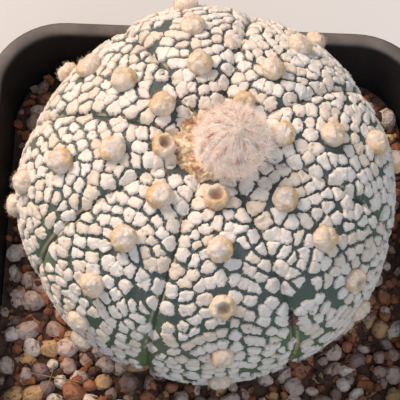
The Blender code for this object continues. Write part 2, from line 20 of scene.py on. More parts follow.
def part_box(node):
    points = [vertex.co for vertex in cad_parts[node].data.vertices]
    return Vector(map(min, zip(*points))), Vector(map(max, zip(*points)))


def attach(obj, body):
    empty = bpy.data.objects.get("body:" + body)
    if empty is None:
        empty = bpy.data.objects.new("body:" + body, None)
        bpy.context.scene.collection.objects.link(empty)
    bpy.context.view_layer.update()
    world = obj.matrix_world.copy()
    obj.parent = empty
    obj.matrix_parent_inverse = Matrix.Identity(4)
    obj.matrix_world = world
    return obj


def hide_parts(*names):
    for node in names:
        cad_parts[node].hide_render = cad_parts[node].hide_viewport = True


MM = 0.001
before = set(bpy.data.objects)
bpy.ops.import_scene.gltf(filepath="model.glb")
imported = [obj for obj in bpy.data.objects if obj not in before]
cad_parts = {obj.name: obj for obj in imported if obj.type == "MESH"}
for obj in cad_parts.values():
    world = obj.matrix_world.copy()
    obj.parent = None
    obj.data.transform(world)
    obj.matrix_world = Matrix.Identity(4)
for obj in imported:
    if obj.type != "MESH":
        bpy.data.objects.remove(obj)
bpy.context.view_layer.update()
pot_low, pot_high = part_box("square_pot")
print("the pot stands", round(pot_high.z / MM, 1), "mm high")

# %% [markdown]
# ## Small helpers
#
# Node trees are easier to read when a node takes its inputs in the line that makes it. `add`
# does that: an output given as a value is linked, and anything else is set on the socket.

# %% Helpers
def add(tree, kind, values=None, **settings):
    made = tree.nodes.new(kind)
    for name, setting in settings.items():
        setattr(made, name, setting)
    for key, value in (values or {}).items():
        if isinstance(value, bpy.types.NodeSocket):
            tree.links.new(value, made.inputs[key])
        else:
            made.inputs[key].default_value = value
    return made


def out(tree, kind, values=None, **settings):
    """The first usable output of a new node."""
    made = add(tree, kind, values, **settings)
    return next(socket for socket in made.outputs if socket.enabled)


def product(tree, a, b):
    return out(tree, "ShaderNodeMath", {0: a, 1: b}, operation="MULTIPLY")


def remap(tree, value, low, high, to_low=0.0, to_high=1.0):
    """Takes the numbers from low to high to a new range, and holds them there outside it."""
    return out(tree, "ShaderNodeMapRange", {"Value": value, "From Min": low, "From Max": high,
                                            "To Min": to_low, "To Max": to_high})


def mesh_object(name, mesh):
    made = bpy.data.objects.new(name, mesh)
    bpy.context.scene.collection.objects.link(made)
    return made


def finish_piece(piece, node):
    graph = bpy.context.evaluated_depsgraph_get()
    baked = bpy.data.meshes.new_from_object(piece.evaluated_get(graph))
    piece.modifiers.clear()
    piece.data = baked
    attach(piece, "root")
    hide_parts(node)
    baked.calc_loop_triangles()
    print(piece.name, "has", len(baked.loop_triangles), "triangles")
    return piece


# %% [markdown]
# Meshes end in the same few ways as well. They come from lists of points and faces, or from a
# bmesh, and most are rings of points joined one to the next, closed by a cap at each end.

# %% Mesh helpers
def from_lists(name, points, faces, smooth=True):
    mesh = bpy.data.meshes.new(name)
    mesh.from_pydata(points, [], faces)
    if smooth:
        mesh.shade_smooth()
    return mesh_object(name, mesh)


def from_bmesh(name, bm, smooth=True):
    mesh = bpy.data.meshes.new(name)
    bm.to_mesh(mesh)
    bm.free()
    if smooth:
        mesh.shade_smooth()
    return mesh_object(name, mesh)


def store(piece, name, values):
    """Gives every point of a piece its own number, or its own vector, under a name."""
    numbers = np.asarray(values, np.float32)
    kind, key = ("FLOAT", "value") if numbers.ndim == 1 else ("FLOAT_VECTOR", "vector")
    piece.data.attributes.new(name, kind, "POINT").data.foreach_set(key, numbers.ravel())


def ring_faces(first, rings, around):
    """The faces of a closed form whose points lie in rings, counted from a first point."""
    faces = []
    for ring in range(rings - 1):
        for step in range(around):
            a, b = first + ring * around + step, first + ring * around + (step + 1) % around
            faces.append((a, b, b + around, a + around))
    last = first + (rings - 1) * around
    return faces + [tuple(range(first, first + around))[::-1], tuple(range(last, last + around))]


def bridge(bm, below, above):
    """A band of faces between two rings of corners."""
    for k in range(len(below)):
        after = (k + 1) % len(below)
        bm.faces.new((below[k], below[after], above[after], above[k]))


def loft(bm, rings):
    """Joins each ring to the next, and caps the first and the last."""
    for below, above in zip(rings, rings[1:]):
        bridge(bm, below, above)
    bm.faces.new(rings[0][::-1])
    bm.faces.new(rings[-1])


# %% [markdown]
# ## The form of the body
#
# A star cactus is a solid of revolution that has been pinched along eight creases. One profile,
# a superellipse with a dimple at the crown, gives the radius and the height for each length of
# arc from the apex. The pinch is then a formula of how near a point lies to a crease. The body
# could be sculpted instead, but a formula can be asked for any point of the skin, and the same
# two functions then place everything that grows on it.

# %% Sizes of the plant
PLANT_AXIS = Vector((-0.6 * MM, 4.0 * MM, 0))
EQUATOR_ABOVE_RIM = 10.2 * MM
EQUATOR = PLANT_AXIS + Vector((0, 0, pot_high.z + EQUATOR_ABOVE_RIM))
BODY_RADIUS = 34.5 * MM
BODY_HALF_HEIGHT = 26.6 * MM
SHAPE_POWER = 2.45
DIMPLE_DEPTH = 4.5 * MM
DIMPLE_RADIUS = 8.6 * MM
NECK_RADIUS = 15 * MM
ROOT_LENGTH = 30 * MM
RIBS = 8
FIRST_RIB_DEG = -82.6
CROWN_SHIFT_DEG = 2.3
CROWN_SHIFT_RIB = 3.3
RIB_FULLNESS = np.array((1.0, 1.02, 1.0, 1.0, 1.025, 0.97, 1.015, 1.0))
RIB_DOME = 0.6 * MM
DOME_POWER = 2.5
DOME_GROWTH = 1.2             # the ribs are fully domed from 1 / 1.2 of the radius on
CREASE_DEPTH = 0.9 * MM
CREASE_WIDTH = 0.85 * MM
CREASE_BEGINS = 6 * MM        # the radius where a crease has its full depth
NECK_FADE = 8 * MM
SLOPE_STEP = 0.2 * MM
GRAVEL_TOP = pot_high.z - 12.5 * MM


# %% The profile
def body_profile():
    """Radius and height of the body and its taproot, from the apex to the root's tip."""
    neck = math.pi - math.asin((NECK_RADIUS / BODY_RADIUS) ** (SHAPE_POWER / 2))
    angle = np.linspace(1e-4, neck, 700)
    s, c = np.sin(angle), np.cos(angle)
    radius = BODY_RADIUS * s ** (2 / SHAPE_POWER)
    height = BODY_HALF_HEIGHT * np.sign(c) * np.abs(c) ** (2 / SHAPE_POWER)
    height -= np.where(c > 0, DIMPLE_DEPTH * np.exp(-(radius / DIMPLE_RADIUS) ** 2), 0)
    down = np.linspace(0, 1, 60)[1:]
    root = NECK_RADIUS * (1 - down) ** 4 + 1.5 * MM * (1 - down)
    return (np.concatenate([radius, root]),
            np.concatenate([height, height[-1] - down * ROOT_LENGTH]))


PROFILE_RADIUS, PROFILE_HEIGHT = body_profile()
PROFILE_STEP = np.hypot(np.diff(PROFILE_RADIUS), np.diff(PROFILE_HEIGHT))
PROFILE_ARC = np.concatenate([[0], np.cumsum(PROFILE_STEP)])
EQUATOR_ARC = PROFILE_ARC[int(PROFILE_RADIUS.argmax())]
LOWER = PROFILE_ARC > EQUATOR_ARC


def arc_at_height(height):
    """The arc where the lower half of the body is at this height above the equator."""
    return float(np.interp(-height, -PROFILE_HEIGHT[LOWER], PROFILE_ARC[LOWER]))


SOIL_ARC = arc_at_height(GRAVEL_TOP - EQUATOR.z)
print("arc from apex to equator", round(EQUATOR_ARC / MM, 1), "mm, to the gravel",
      round(SOIL_ARC / MM, 1))


# %% [markdown]
# The ribs are not quite evenly spread: they crowd a little away from one side. `ribs_at` tells
# for any azimuth which rib it is on, and how far across, from -1 at one crease to 1 at the next.

# %% Ribs
RIB_NUMBERS = np.arange(-1, RIBS + 1)
CREST = np.radians(FIRST_RIB_DEG + 360 / RIBS * RIB_NUMBERS
                   + CROWN_SHIFT_DEG * np.cos(math.tau / RIBS * (RIB_NUMBERS - CROWN_SHIFT_RIB)))
CREASE = (CREST[1:] + CREST[:-1]) / 2


def ribs_at(azimuth):
    turn = CREASE[0] + (np.asarray(azimuth, float) - CREASE[0]) % math.tau
    rib = np.clip(np.searchsorted(CREASE, turn, "right") - 1, 0, RIBS - 1)
    crest = CREST[rib + 1]
    span = np.where(turn < crest, crest - CREASE[rib], CREASE[rib + 1] - crest)
    return rib, (turn - crest) / span


def azimuth_on(rib, across):
    """The azimuth at a place across a rib."""
    crest = CREST[rib + 1]
    span = np.where(across < 0, crest - CREASE[rib], CREASE[rib + 1] - crest)
    return crest + across * span


def from_crease(arc, azimuth):
    """How far along the skin a place is from the nearest crease."""
    _, across = ribs_at(azimuth)
    return (1 - np.abs(across)) * np.interp(arc, PROFILE_ARC, PROFILE_RADIUS) * math.pi / RIBS


# %% Points of the skin
def skin(arc, azimuth):
    """Points of the ribbed skin, for arrays of arc length and azimuth."""
    arc, azimuth = np.broadcast_arrays(np.asarray(arc, float), np.asarray(azimuth, float))
    radius = np.interp(arc, PROFILE_ARC, PROFILE_RADIUS)
    height = np.interp(arc, PROFILE_ARC, PROFILE_HEIGHT)
    rib, across = ribs_at(azimuth)
    above_neck = np.clip((height + BODY_HALF_HEIGHT) / NECK_FADE, 0, 1)
    belly = np.clip(radius / BODY_RADIUS * DOME_GROWTH, 0, 1)
    inward = RIB_DOME * belly * np.abs(across) ** DOME_POWER
    inward = inward + CREASE_DEPTH * np.exp(-(from_crease(arc, azimuth) / CREASE_WIDTH) ** 2)
    inward = inward * above_neck * np.clip(radius / CREASE_BEGINS, 0, 1)
    neighbour = RIB_FULLNESS[(rib + np.where(across > 0, 1, -1)) % RIBS]
    share = 0.5 * across ** 2
    full = 1 + (RIB_FULLNESS[rib] * (1 - share) + neighbour * share - 1) * above_neck
    rise, run = (np.interp(arc + SLOPE_STEP, PROFILE_ARC, line)
                 - np.interp(arc - SLOPE_STEP, PROFILE_ARC, line)
                 for line in (PROFILE_HEIGHT, PROFILE_RADIUS))
    slope = np.arctan2(rise, run)
    radius = radius * full + np.sin(slope) * inward
    height = height - np.cos(slope) * inward
    flat = np.stack([radius * np.cos(azimuth), radius * np.sin(azimuth), height], axis=-1)
    return flat + np.array(EQUATOR)


def skin_normal(arc, azimuth):
    """The way out of the skin, from its slope both ways."""
    step = 0.4 * MM
    turn = step / np.maximum(step, np.interp(arc, PROFILE_ARC, PROFILE_RADIUS))
    down = skin(arc + step, azimuth) - skin(arc - step, azimuth)
    along = skin(arc, azimuth + turn) - skin(arc, azimuth - turn)
    normal = np.cross(down, along)
    return normal / np.linalg.norm(normal, axis=-1, keepdims=True)


print("creases at", [round(math.degrees(a)) for a in CREASE[:RIBS]], "degrees")

# %% [markdown]
# ## Where the areoles stand
#
# A cactus makes its areoles one at a time at the crown, each one a fixed turn on from the last.
# With eight ribs that turn is three ribs back, so numbering them by age gives rib and distance
# at once, and the whole plant's pattern follows from one short rule.

# %% Areoles
AREOLE_COUNT = 47
AREOLE_FIRST = 0.256
AREOLE_PITCH = 0.2235
AREOLE_GROWTH = 0.0169
SPIRAL_START_RIB = 6
SPIRAL_STEP = -3


def areole_arc(order):
    age = order / RIBS
    return (AREOLE_FIRST + AREOLE_PITCH * age + AREOLE_GROWTH * age ** 2) * BODY_RADIUS


AREOLES = [((SPIRAL_START_RIB + SPIRAL_STEP * n) % RIBS, areole_arc(n))
           for n in range(AREOLE_COUNT)]
print(len(AREOLES), "areoles")

# %% [markdown]
# ## Shared shader effects
#
# Three effects are node groups with named inputs, so that each material can use them with its
# own values. Copied nodes would do as well, but each copy would have to be corrected alone.
# *Felt grain* is the fine mottling of packed fibres, and of stone and plastic too. *Specks* are
# scattered dots: pale flecks on the skin, rusty ones on the scales. *Settled dust* whitens what
# faces the sky.

# %% Node groups
def group(name, inputs, outputs):
    """A shader group whose inputs and outputs are all numbers."""
    made = bpy.data.node_groups.new(name, "ShaderNodeTree")
    for label, value in inputs.items():
        socket = made.interface.new_socket(label, in_out="INPUT", socket_type="NodeSocketFloat")
        socket.default_value = value
    for label in outputs:
        made.interface.new_socket(label, in_out="OUTPUT", socket_type="NodeSocketFloat")
    return made, made.nodes.new("NodeGroupInput"), made.nodes.new("NodeGroupOutput")


def object_place(tree):
    return tree.nodes.new("ShaderNodeTexCoord").outputs["Object"]


def felt_grain_group():
    tree, start, end = group("Felt grain", {"Scale": 900.0}, ("Value", "Height"))
    place = object_place(tree)
    fine = out(tree, "ShaderNodeTexNoise", {"Vector": place, "Scale": start.outputs["Scale"],
                                            "Detail": 3.0, "Roughness": 0.7})
    coarse = out(tree, "ShaderNodeTexNoise", {"Vector": place, "Detail": 2.0,
                                              "Scale": product(tree, start.outputs["Scale"], 0.22)})
    both = out(tree, "ShaderNodeMix", {"Factor": 0.45, 2: fine, 3: coarse})
    tree.links.new(both, end.inputs["Value"])
    tree.links.new(fine, end.inputs["Height"])
    return tree


def specks_group():
    tree, start, end = group("Specks", {"Scale": 300.0, "Rarity": 0.8}, ("Mask",))
    cell = add(tree, "ShaderNodeTexVoronoi", {"Vector": object_place(tree),
                                              "Scale": start.outputs["Scale"]})
    chance = out(tree, "ShaderNodeSeparateColor", {"Color": cell.outputs["Color"]})
    rare = out(tree, "ShaderNodeMath", {0: chance, 1: start.outputs["Rarity"]},
               operation="GREATER_THAN")
    near = remap(tree, cell.outputs["Distance"], 0.18, 0.34, 1.0, 0.0)
    tree.links.new(product(tree, rare, near), end.inputs["Mask"])
    return tree


def settled_dust_group():
    tree, start, end = group("Settled dust", {"Scale": 60.0, "Amount": 0.5}, ("Mask",))
    facing = tree.nodes.new("ShaderNodeNewGeometry").outputs["Normal"]
    up = add(tree, "ShaderNodeSeparateXYZ", {0: facing}).outputs["Z"]
    cloud = out(tree, "ShaderNodeTexNoise", {"Vector": object_place(tree), "Detail": 5.0,
                                             "Roughness": 0.65, "Scale": start.outputs["Scale"]})
    both = product(tree, remap(tree, up, 0.25, 0.9), remap(tree, cloud, 0.3, 0.65, 0.35, 1.0))
    tree.links.new(product(tree, both, start.outputs["Amount"]), end.inputs["Mask"])
    return tree


FELT_GRAIN, SPECKS, SETTLED_DUST = felt_grain_group(), specks_group(), settled_dust_group()
print("effects:", ", ".join(effect.name for effect in (FELT_GRAIN, SPECKS, SETTLED_DUST)))


# %% Material helpers
def new_material(name, roughness, **numbers):
    """A material, its node tree and its shader. An underscore in a socket's name is a space."""
    made = bpy.data.materials.new(name)
    made.use_nodes = True
    shader = made.node_tree.nodes["Principled BSDF"]
    shader.inputs["Roughness"].default_value = roughness
    for label, value in numbers.items():
        shader.inputs[label.replace("_", " ")].default_value = value
    return made, made.node_tree, shader


def use(tree, effect, **values):
    """Places a node group in a material with its own values."""
    made = tree.nodes.new("ShaderNodeGroup")
    made.node_tree = effect
    for label, value in values.items():
        made.inputs[label].default_value = value
    return made


def attribute(tree, name, kind="Fac"):
    made = tree.nodes.new("ShaderNodeAttribute")
    made.attribute_name = name
    return made.outputs[kind]


def ramp(tree, factor, stops, steps=False):
    """Colours along a number, blended from stop to stop or in steps."""
    made = add(tree, "ShaderNodeValToRGB", {"Fac": factor})
    made.color_ramp.interpolation = "CONSTANT" if steps else "LINEAR"
    while len(made.color_ramp.elements) < len(stops):
        made.color_ramp.elements.new(0.5)
    for element, (place, colour) in zip(made.color_ramp.elements, stops):
        element.position = place
        element.color = (*colour, 1)
    return made.outputs["Color"]


def mix(tree, factor, a, b, blend="MIX"):
    """Mixes two colours; each is an output or a plain colour."""
    made = add(tree, "ShaderNodeMix", {"Factor": factor}, data_type="RGBA", blend_type=blend)
    for key, value in ((6, a), (7, b)):
        if isinstance(value, bpy.types.NodeSocket):
            tree.links.new(value, made.inputs[key])
        else:
            made.inputs[key].default_value = (*value, 1)
    return made.outputs[2]


def bump(tree, shader, height, distance, strength=1.0):
    made = out(tree, "ShaderNodeBump", {"Height": height, "Distance": distance, "Strength": strength})
    tree.links.new(made, shader.inputs["Normal"])


# %% [markdown]
# ## Skin
#
# Between the scales the skin shows: blue-green near the crown, and darker there with painted shade
# for the narrow gaps between the scales, yellower where it is old, with pale flecks, a dark line in
# each crease and a torn corky seam beside it. The mesh is a grid of arc and azimuth. Its columns
# gather at the creases, where the form turns sharply.
# Each point keeps its age and how near it is to a crease, so that nothing has to be painted.

# %% Skin mesh
SKIN_COLUMNS = 22
SKIN_ROWS = 120
ROOT_ROWS = 14
COLUMN_GATHER = 1.5
CREASE_LINE = 0.8 * MM
VALLEY_WIDTH = 4 * MM


def skin_piece():
    half = np.linspace(-1, 1, SKIN_COLUMNS, endpoint=False)
    across = np.sign(half) * (1 - (1 - np.abs(half)) ** COLUMN_GATHER)
    azimuth = np.concatenate([azimuth_on(rib, across) for rib in range(RIBS)])
    arc = np.concatenate([np.linspace(0.3 * MM, SOIL_ARC + 3 * MM, SKIN_ROWS),
                          np.linspace(SOIL_ARC + 6 * MM, PROFILE_ARC[-1] - 0.2 * MM, ROOT_ROWS)])
    grid_arc, grid_azimuth = np.meshgrid(arc, azimuth, indexing="ij")
    points = skin(grid_arc, grid_azimuth).reshape(-1, 3)
    columns = len(azimuth)
    bm = bmesh.new()
    corners = [bm.verts.new(p) for p in points]
    for row in range(len(arc) - 1):
        for column in range(columns):
            beside = (column + 1) % columns
            here, below = row * columns, (row + 1) * columns
            bm.faces.new([corners[here + column], corners[below + column],
                          corners[below + beside], corners[here + beside]])
    for ring in (corners[:columns], corners[-columns:]):
        pole = bm.verts.new(sum((v.co for v in ring), Vector()) / columns)
        for a, b in zip(ring, ring[1:] + ring[:1]):
            bm.faces.new((a, b, pole))
    bmesh.ops.recalc_face_normals(bm, faces=bm.faces)
    piece = from_bmesh("cactus_skin", bm)
    away = from_crease(grid_arc, grid_azimuth)
    for name, values in (("crease", np.exp(-(away / CREASE_LINE) ** 2)),
                         ("valley", np.exp(-(away / VALLEY_WIDTH) ** 2)), ("age", grid_arc / SOIL_ARC)):
        store(piece, name, np.concatenate([values.ravel(), [0, 1]]))     # the two poles come last
    return piece


# %% Skin colours
def skin_material():
    made, tree, shader = new_material("cactus skin", 0.62)
    age = attribute(tree, "age")
    # Near the crown the skin is blue-green, and this end of the ramp is darker still: painted shade for
    # the narrow gaps between the scales there.
    colour = ramp(tree, age, ((0.0, (0.054, 0.058, 0.066)), (0.38, (0.068, 0.088, 0.082)),
                              (0.58, (0.088, 0.130, 0.080)), (0.76, (0.14, 0.180, 0.070)),
                              (1.0, (0.20, 0.22, 0.08))))
    older = remap(tree, age, 0.35, 0.75, to_high=0.75)
    bright = product(tree, older, attribute(tree, "valley"))
    colour = mix(tree, bright, colour, (0.165, 0.225, 0.080))
    mottle = use(tree, FELT_GRAIN, Scale=1500.0)
    flecks = use(tree, SPECKS, Scale=3600.0, Rarity=0.7)
    colour = mix(tree, mottle.outputs["Value"], colour, (0.36, 0.42, 0.36), "OVERLAY")
    colour = mix(tree, product(tree, flecks.outputs["Mask"], 0.3), colour, (0.42, 0.46, 0.38))
    line = remap(tree, attribute(tree, "crease"), 0.8, 1.0, to_high=0.8)
    colour = mix(tree, line, colour, (0.030, 0.045, 0.025))
    beside = ramp(tree, attribute(tree, "crease"), ((0.30, (0, 0, 0)), (0.52, (1, 1, 1)),
                                                    (0.70, (1, 1, 1)), (0.80, (0, 0, 0))))
    torn = remap(tree, use(tree, FELT_GRAIN, Scale=260.0).outputs["Value"], 0.50, 0.56)
    colour = mix(tree, product(tree, beside, torn), colour, (0.44, 0.36, 0.22))
    tree.links.new(colour, shader.inputs["Base Color"])
    bump(tree, shader, mottle.outputs["Height"], 0.05 * MM, 0.5)
    return made


cactus_skin = skin_piece()
cactus_skin.data.materials.append(skin_material())
finish_piece(cactus_skin, "cactus_body")

# %% [markdown]
# ## Felt scales
#
# The white plates stand in rows. A row starts on the crest of a rib and swings down as it nears
# the crease, so the rows of two ribs meet like herringbone. A plate is one lobe of felt, or a few
# that have grown together, with a seam between them. Each lobe has a seed and owns the part of
# the skin nearest to it. Its outline is that cell with the corners rounded and every side drawn
# in by its own gap: none within a plate, a small one in a row, and a wider one between rows.
# Discs could be scattered on the skin instead, but real plates fit each other like paving, and
# only cells that share their sides do that.
#
# The sizes come first, for young plates near the crown and for old ones near the gravel. All
# that lie between follow from how far down the plate stands.

# %% Sizes of the scales
PAD_RADIUS = 2.2 * MM
PAD_CLEARANCE = 2.45 * MM
WOOL_RADIUS = 6.0 * MM
LOBE_PITCH = 1.62 * MM        # between the lobes of one plate
PLATE_PITCH = 2.35 * MM       # between plates
PITCH_GROWTH = 0.42
LOBES_YOUNG = (1, 1, 1, 2, 2, 3, 3, 4)
LOBES_OLD = (1, 1, 1, 1, 2, 2, 3)
OLD_FROM = 0.5                # share of the way down to the gravel
LOWER_FROM = 0.62             # where the second of the two meshes begins
ROW_PITCH = 2.25 * MM
ROW_TURN = 0.26
ROW_CURVE = 0.052 / MM
CREASE_MARGIN = (0.5 * MM, 1.0 * MM)
MARGIN_GROWTH = 1.4
BARE_CREASE_FROM = 0.62
BARE_STEP = 1.1 * MM
CLUMP_CHANCE = 0.2
CLUMP_MOST = 4
CLUMP_REACH = 2.6 * MM
GAP_YOUNG = 0.15 * MM
GAP_OLD = 0.90 * MM
GAP_JOINED = -0.16 * MM
GAP_IN_ROW = 0.55             # share of the gap between two plates of a row
GAP_ACROSS = 1.25             # and between two rows
REACH_YOUNG = 1.60 * MM
REACH_OLD = 1.15 * MM
REACH_FIRMNESS = 0.85         # how much of what lies beyond the reach is drawn back
MISSING = (0.0, 0.10)         # share of lobes that have fallen off, young and old
EDGE_STEP = 0.30 * MM
CORNER_ROUNDS = 16
FRAY = 0.014 * MM
SCALLOP = 0.36 * MM
SCALLOP_WIDTH = 0.90 * MM
SCALLOP_BASE = 0.4
SCALE_THICKNESS = 0.5 * MM
DRAW_STEP = 0.1 * MM
SMALLEST_CELL = 1.0 * MM * MM
SEED_OF_SCALES = 11
print("a plate has up to", max(LOBES_YOUNG), "lobes, about", round(LOBE_PITCH / MM, 1), "mm apart")

# %% How much they vary
ROW_JITTER_MM = (-0.25, 0.25)
TURN_JITTER = (-0.1, 0.12)
FIRST_STEP = (0.8, 1.0)
STEP_VARIES = (0.78, 1.25)
JOG_MM = (-0.45, 0.45)
GAP_JITTER_MM = (-0.08, 0.16)
REACH_VARIES = (0.84, 1.16)
THICKNESS_VARIES = (0.8, 1.2)
TONE_JITTER = (-0.15, 0.15)


# %% Rows of seeds
def row_starts(rib):
    """Arc of each row on a crest, and whether an areole stands there."""
    own = [arc for r, arc in AREOLES if r == rib]
    above = [own[0] - ROW_PITCH * k for k in range(1, 4)]
    starts = [(arc, False) for arc in above if arc > WOOL_RADIUS]
    own.append(2 * own[-1] - own[-2])
    for here, after in zip(own, own[1:]):
        starts.append((here, True))
        rows = round((after - here) / (ROW_PITCH * (1 + PITCH_GROWTH * here / SOIL_ARC)))
        starts += [(here + (after - here) * k / rows, False) for k in range(1, rows)]
    return starts


def half_width(rib, side, arc):
    span = CREST[rib + 1] - CREASE[rib] if side < 0 else CREASE[rib + 1] - CREST[rib + 1]
    return span * float(np.interp(arc, PROFILE_ARC, PROFILE_RADIUS))


def crease_margin(arc):
    young, old = CREASE_MARGIN
    return young + (old - young) * min(1, arc / SOIL_ARC * MARGIN_GROWTH)


def scale_seeds(rng):
    """Places of the seeds as (arc, azimuth), the row each is in, and the pairs of one plate."""
    seeds, rows, pairs = [], [], []
    for rib in range(RIBS):
        for start, has_areole in row_starts(rib):
            start += 0 if has_areole else rng.uniform(*ROW_JITTER_MM) * MM
            for side in (-1, 1):
                turn = ROW_TURN + rng.uniform(*TURN_JITTER)
                reach = PAD_CLEARANCE + 0.3 * MM if has_areole else 0.0
                if not has_areole and side > 0:
                    reach = PLATE_PITCH * rng.uniform(*FIRST_STEP)
                kinds = LOBES_YOUNG if start < OLD_FROM * SOIL_ARC else LOBES_OLD
                lobes = rng.choice(kinds)
                joined = False
                row = (rib, side, start)
                while True:
                    arc = start + turn * reach + ROW_CURVE * reach ** 2
                    width = half_width(rib, side, arc)
                    if width - reach < crease_margin(arc):
                        break
                    jog = rng.uniform(*JOG_MM) * MM
                    azimuth = azimuth_on(rib, side * reach / width)
                    seeds.append((arc + jog, azimuth))
                    rows.append(row)
                    if joined:
                        pairs.append((len(seeds) - 2, len(seeds) - 1))
                    lobes -= 1
                    joined = lobes > 0
                    if not joined:
                        lobes = rng.choice(kinds)
                    pitch = LOBE_PITCH if joined else PLATE_PITCH
                    reach += pitch * (1 + PITCH_GROWTH * arc / SOIL_ARC) * rng.uniform(*STEP_VARIES)
    return np.array(seeds), rows, pairs


# %% [markdown]
# Some places stay bare, and they get seeds too, whose cells are never filled. That keeps the
# plates away from the pads, the creases and the crown. Seeds that crowd each other are pushed
# apart a little, as growing plates do.

# %% Bare places, and room for each seed
def blank_seeds():
    """Seeds of cells that stay bare: along the creases, below the pads and at the two poles."""
    blanks = [(arc, azimuth_on(rib, 0.0)) for rib, arc in AREOLES]
    for rib in range(RIBS):
        arc = BARE_CREASE_FROM * SOIL_ARC
        while arc < SOIL_ARC + 8 * MM:
            blanks.append((arc, CREASE[rib]))
            arc += BARE_STEP
    for arc in (0.5 * MM, 2.5 * MM, WOOL_RADIUS * 0.85, SOIL_ARC + 5 * MM, SOIL_ARC + 9 * MM):
        blanks += [(arc, turn) for turn in np.linspace(0, math.tau, 40, endpoint=False)]
    return np.array(blanks)


def too_near(seeds):
    """Marks seeds that a pad, the wool of the crown or the gravel leaves no room for."""
    points = skin(seeds[:, 0], seeds[:, 1])
    pads = np.array([skin(arc, azimuth_on(rib, 0.0)) for rib, arc in AREOLES])
    nearest = np.linalg.norm(points[:, None] - pads[None], axis=2).min(axis=1)
    arc = seeds[:, 0]
    return (nearest < PAD_CLEARANCE) | (arc < WOOL_RADIUS + 0.9 * MM) | (arc > SOIL_ARC + 1.5 * MM)


def spread(seeds, fixed, rounds=5):
    """Pushes seeds that crowd each other apart a little."""
    for _ in range(rounds):
        everyone = np.concatenate([seeds, fixed])
        points = skin(everyone[:, 0], everyone[:, 1])
        radius = np.interp(seeds[:, 0], PROFILE_ARC, PROFILE_RADIUS)
        for index in range(len(seeds)):
            away = points[index] - points
            distance = np.linalg.norm(away, axis=1)
            near = (distance < LOBE_PITCH) & (distance > 1e-6)
            near[len(seeds):] &= distance[len(seeds):] < 1.2 * MM
            if not near.any():
                continue
            short = (LOBE_PITCH - distance[near])[:, None]
            push = (away[near] / distance[near, None] * short).sum(axis=0) * 0.3
            arc, azimuth = seeds[index]
            down = skin(arc + 0.3 * MM, azimuth) - skin(arc - 0.3 * MM, azimuth)
            down /= np.linalg.norm(down)
            around = np.array((-math.sin(azimuth), math.cos(azimuth), 0))
            seeds[index] += (push @ down, push @ around / radius[index])
    return seeds


rng = random.Random(SEED_OF_SCALES)
seeds, rows, pairs = scale_seeds(rng)
kept = np.flatnonzero(~too_near(seeds))
renumber = {int(old): new for new, old in enumerate(kept)}
pairs = [(renumber[a], renumber[b]) for a, b in pairs if a in renumber and b in renumber]
rows = [rows[old] for old in kept]
seeds = spread(seeds[kept], blank_seeds())
print(len(seeds), "seeds in rows")


# %% [markdown]
# The cells come from a convex hull. The skin is first mapped onto a unit ball so that angles are
# kept; there the hull's triangles are exactly the triples of nearest seeds, and their centres
# are the corners of the cells. A step of arc counts in that map as its share of the radius, so
# a small form keeps its shape, and a plate can be drawn flat and laid back on the skin.

# %% Cells
profile_middle = (PROFILE_RADIUS[1:] + PROFILE_RADIUS[:-1]) / 2
PROFILE_STRETCH = np.concatenate([[0], np.cumsum(PROFILE_STEP / np.maximum(profile_middle, 1e-6))])
PROFILE_STRETCH -= np.interp(EQUATOR_ARC, PROFILE_ARC, PROFILE_STRETCH)
print("on the map the gravel is", round(float(np.interp(SOIL_ARC, PROFILE_ARC, PROFILE_STRETCH)), 2),
      "below the equator")


def ball_directions(places):
    """Where the places lie on the unit ball, by the map that keeps angles."""
    arc, azimuth = places.T
    polar = 2 * np.arctan(np.exp(np.interp(arc, PROFILE_ARC, PROFILE_STRETCH)))
    return np.stack([np.sin(polar) * np.cos(azimuth), np.sin(polar) * np.sin(azimuth),
                     np.cos(polar)], 1)


def cell_graph(places):
    """The cells' corners as (stretch, azimuth), and each edge between two cells."""
    bm = bmesh.new()
    for direction in ball_directions(places):
        bm.verts.new(direction)
    bm.verts.index_update()
    bmesh.ops.convex_hull(bm, input=bm.verts)
    bm.faces.index_update()
    bm.normal_update()
    corners = []
    for face in bm.faces:
        normal = face.normal if face.normal.dot(face.verts[0].co) > 0 else -face.normal
        polar = min(math.pi - 1e-4, max(1e-4, math.acos(max(-1, min(1, normal.z)))))
        corners.append((math.log(math.tan(polar / 2)), math.atan2(normal.y, normal.x)))
    borders = [(*(v.index for v in edge.verts), *(face.index for face in edge.link_faces))
               for edge in bm.edges if len(edge.link_faces) == 2]
    bm.free()
    return np.array(corners), borders


# %% Plates, and the ring of each cell
def grow_together(count, pairs, borders, rng):
    """The plate that each lobe belongs to. Besides those of a row, lobes of two rows may clump."""
    places = skin(seeds[:, 0], seeds[:, 1])
    touching = {tuple(sorted((a, b))) for a, b, *_ in borders
                if max(a, b) < count and np.linalg.norm(places[a] - places[b]) < CLUMP_REACH}
    plate = list(range(count))
    for a, b in pairs:
        if tuple(sorted((a, b))) in touching:
            plate[b] = plate[a]
    for a, b in sorted(touching):
        if rng.random() < CLUMP_CHANCE and plate.count(plate[a]) + plate.count(plate[b]) <= CLUMP_MOST:
            old = plate[b]
            plate = [plate[a] if number == old else number for number in plate]
    return plate


def cell_rings(borders, count):
    """For each seed, its cell's corners, and with each the neighbour beyond its next side."""
    links = [{} for _ in range(count)]
    for one, other, left, right in borders:
        for own, beyond in ((one, other), (other, one)):
            if own < count:
                links[own].setdefault(left, []).append((right, beyond))
                links[own].setdefault(right, []).append((left, beyond))
    for ring in links:
        start = here = next(iter(ring))
        loop, before = [], None
        while not loop or here != start:
            after, beyond = next(step for step in ring[here] if step[0] != before)
            loop.append((here, beyond))
            before, here = here, after
        yield loop


# %% [markdown]
# An outline starts as the sides of its cell, each moved in by its gap. Averaging rounds it off,
# a limit keeps large cells from making large plates, and noise along it makes the scallops.

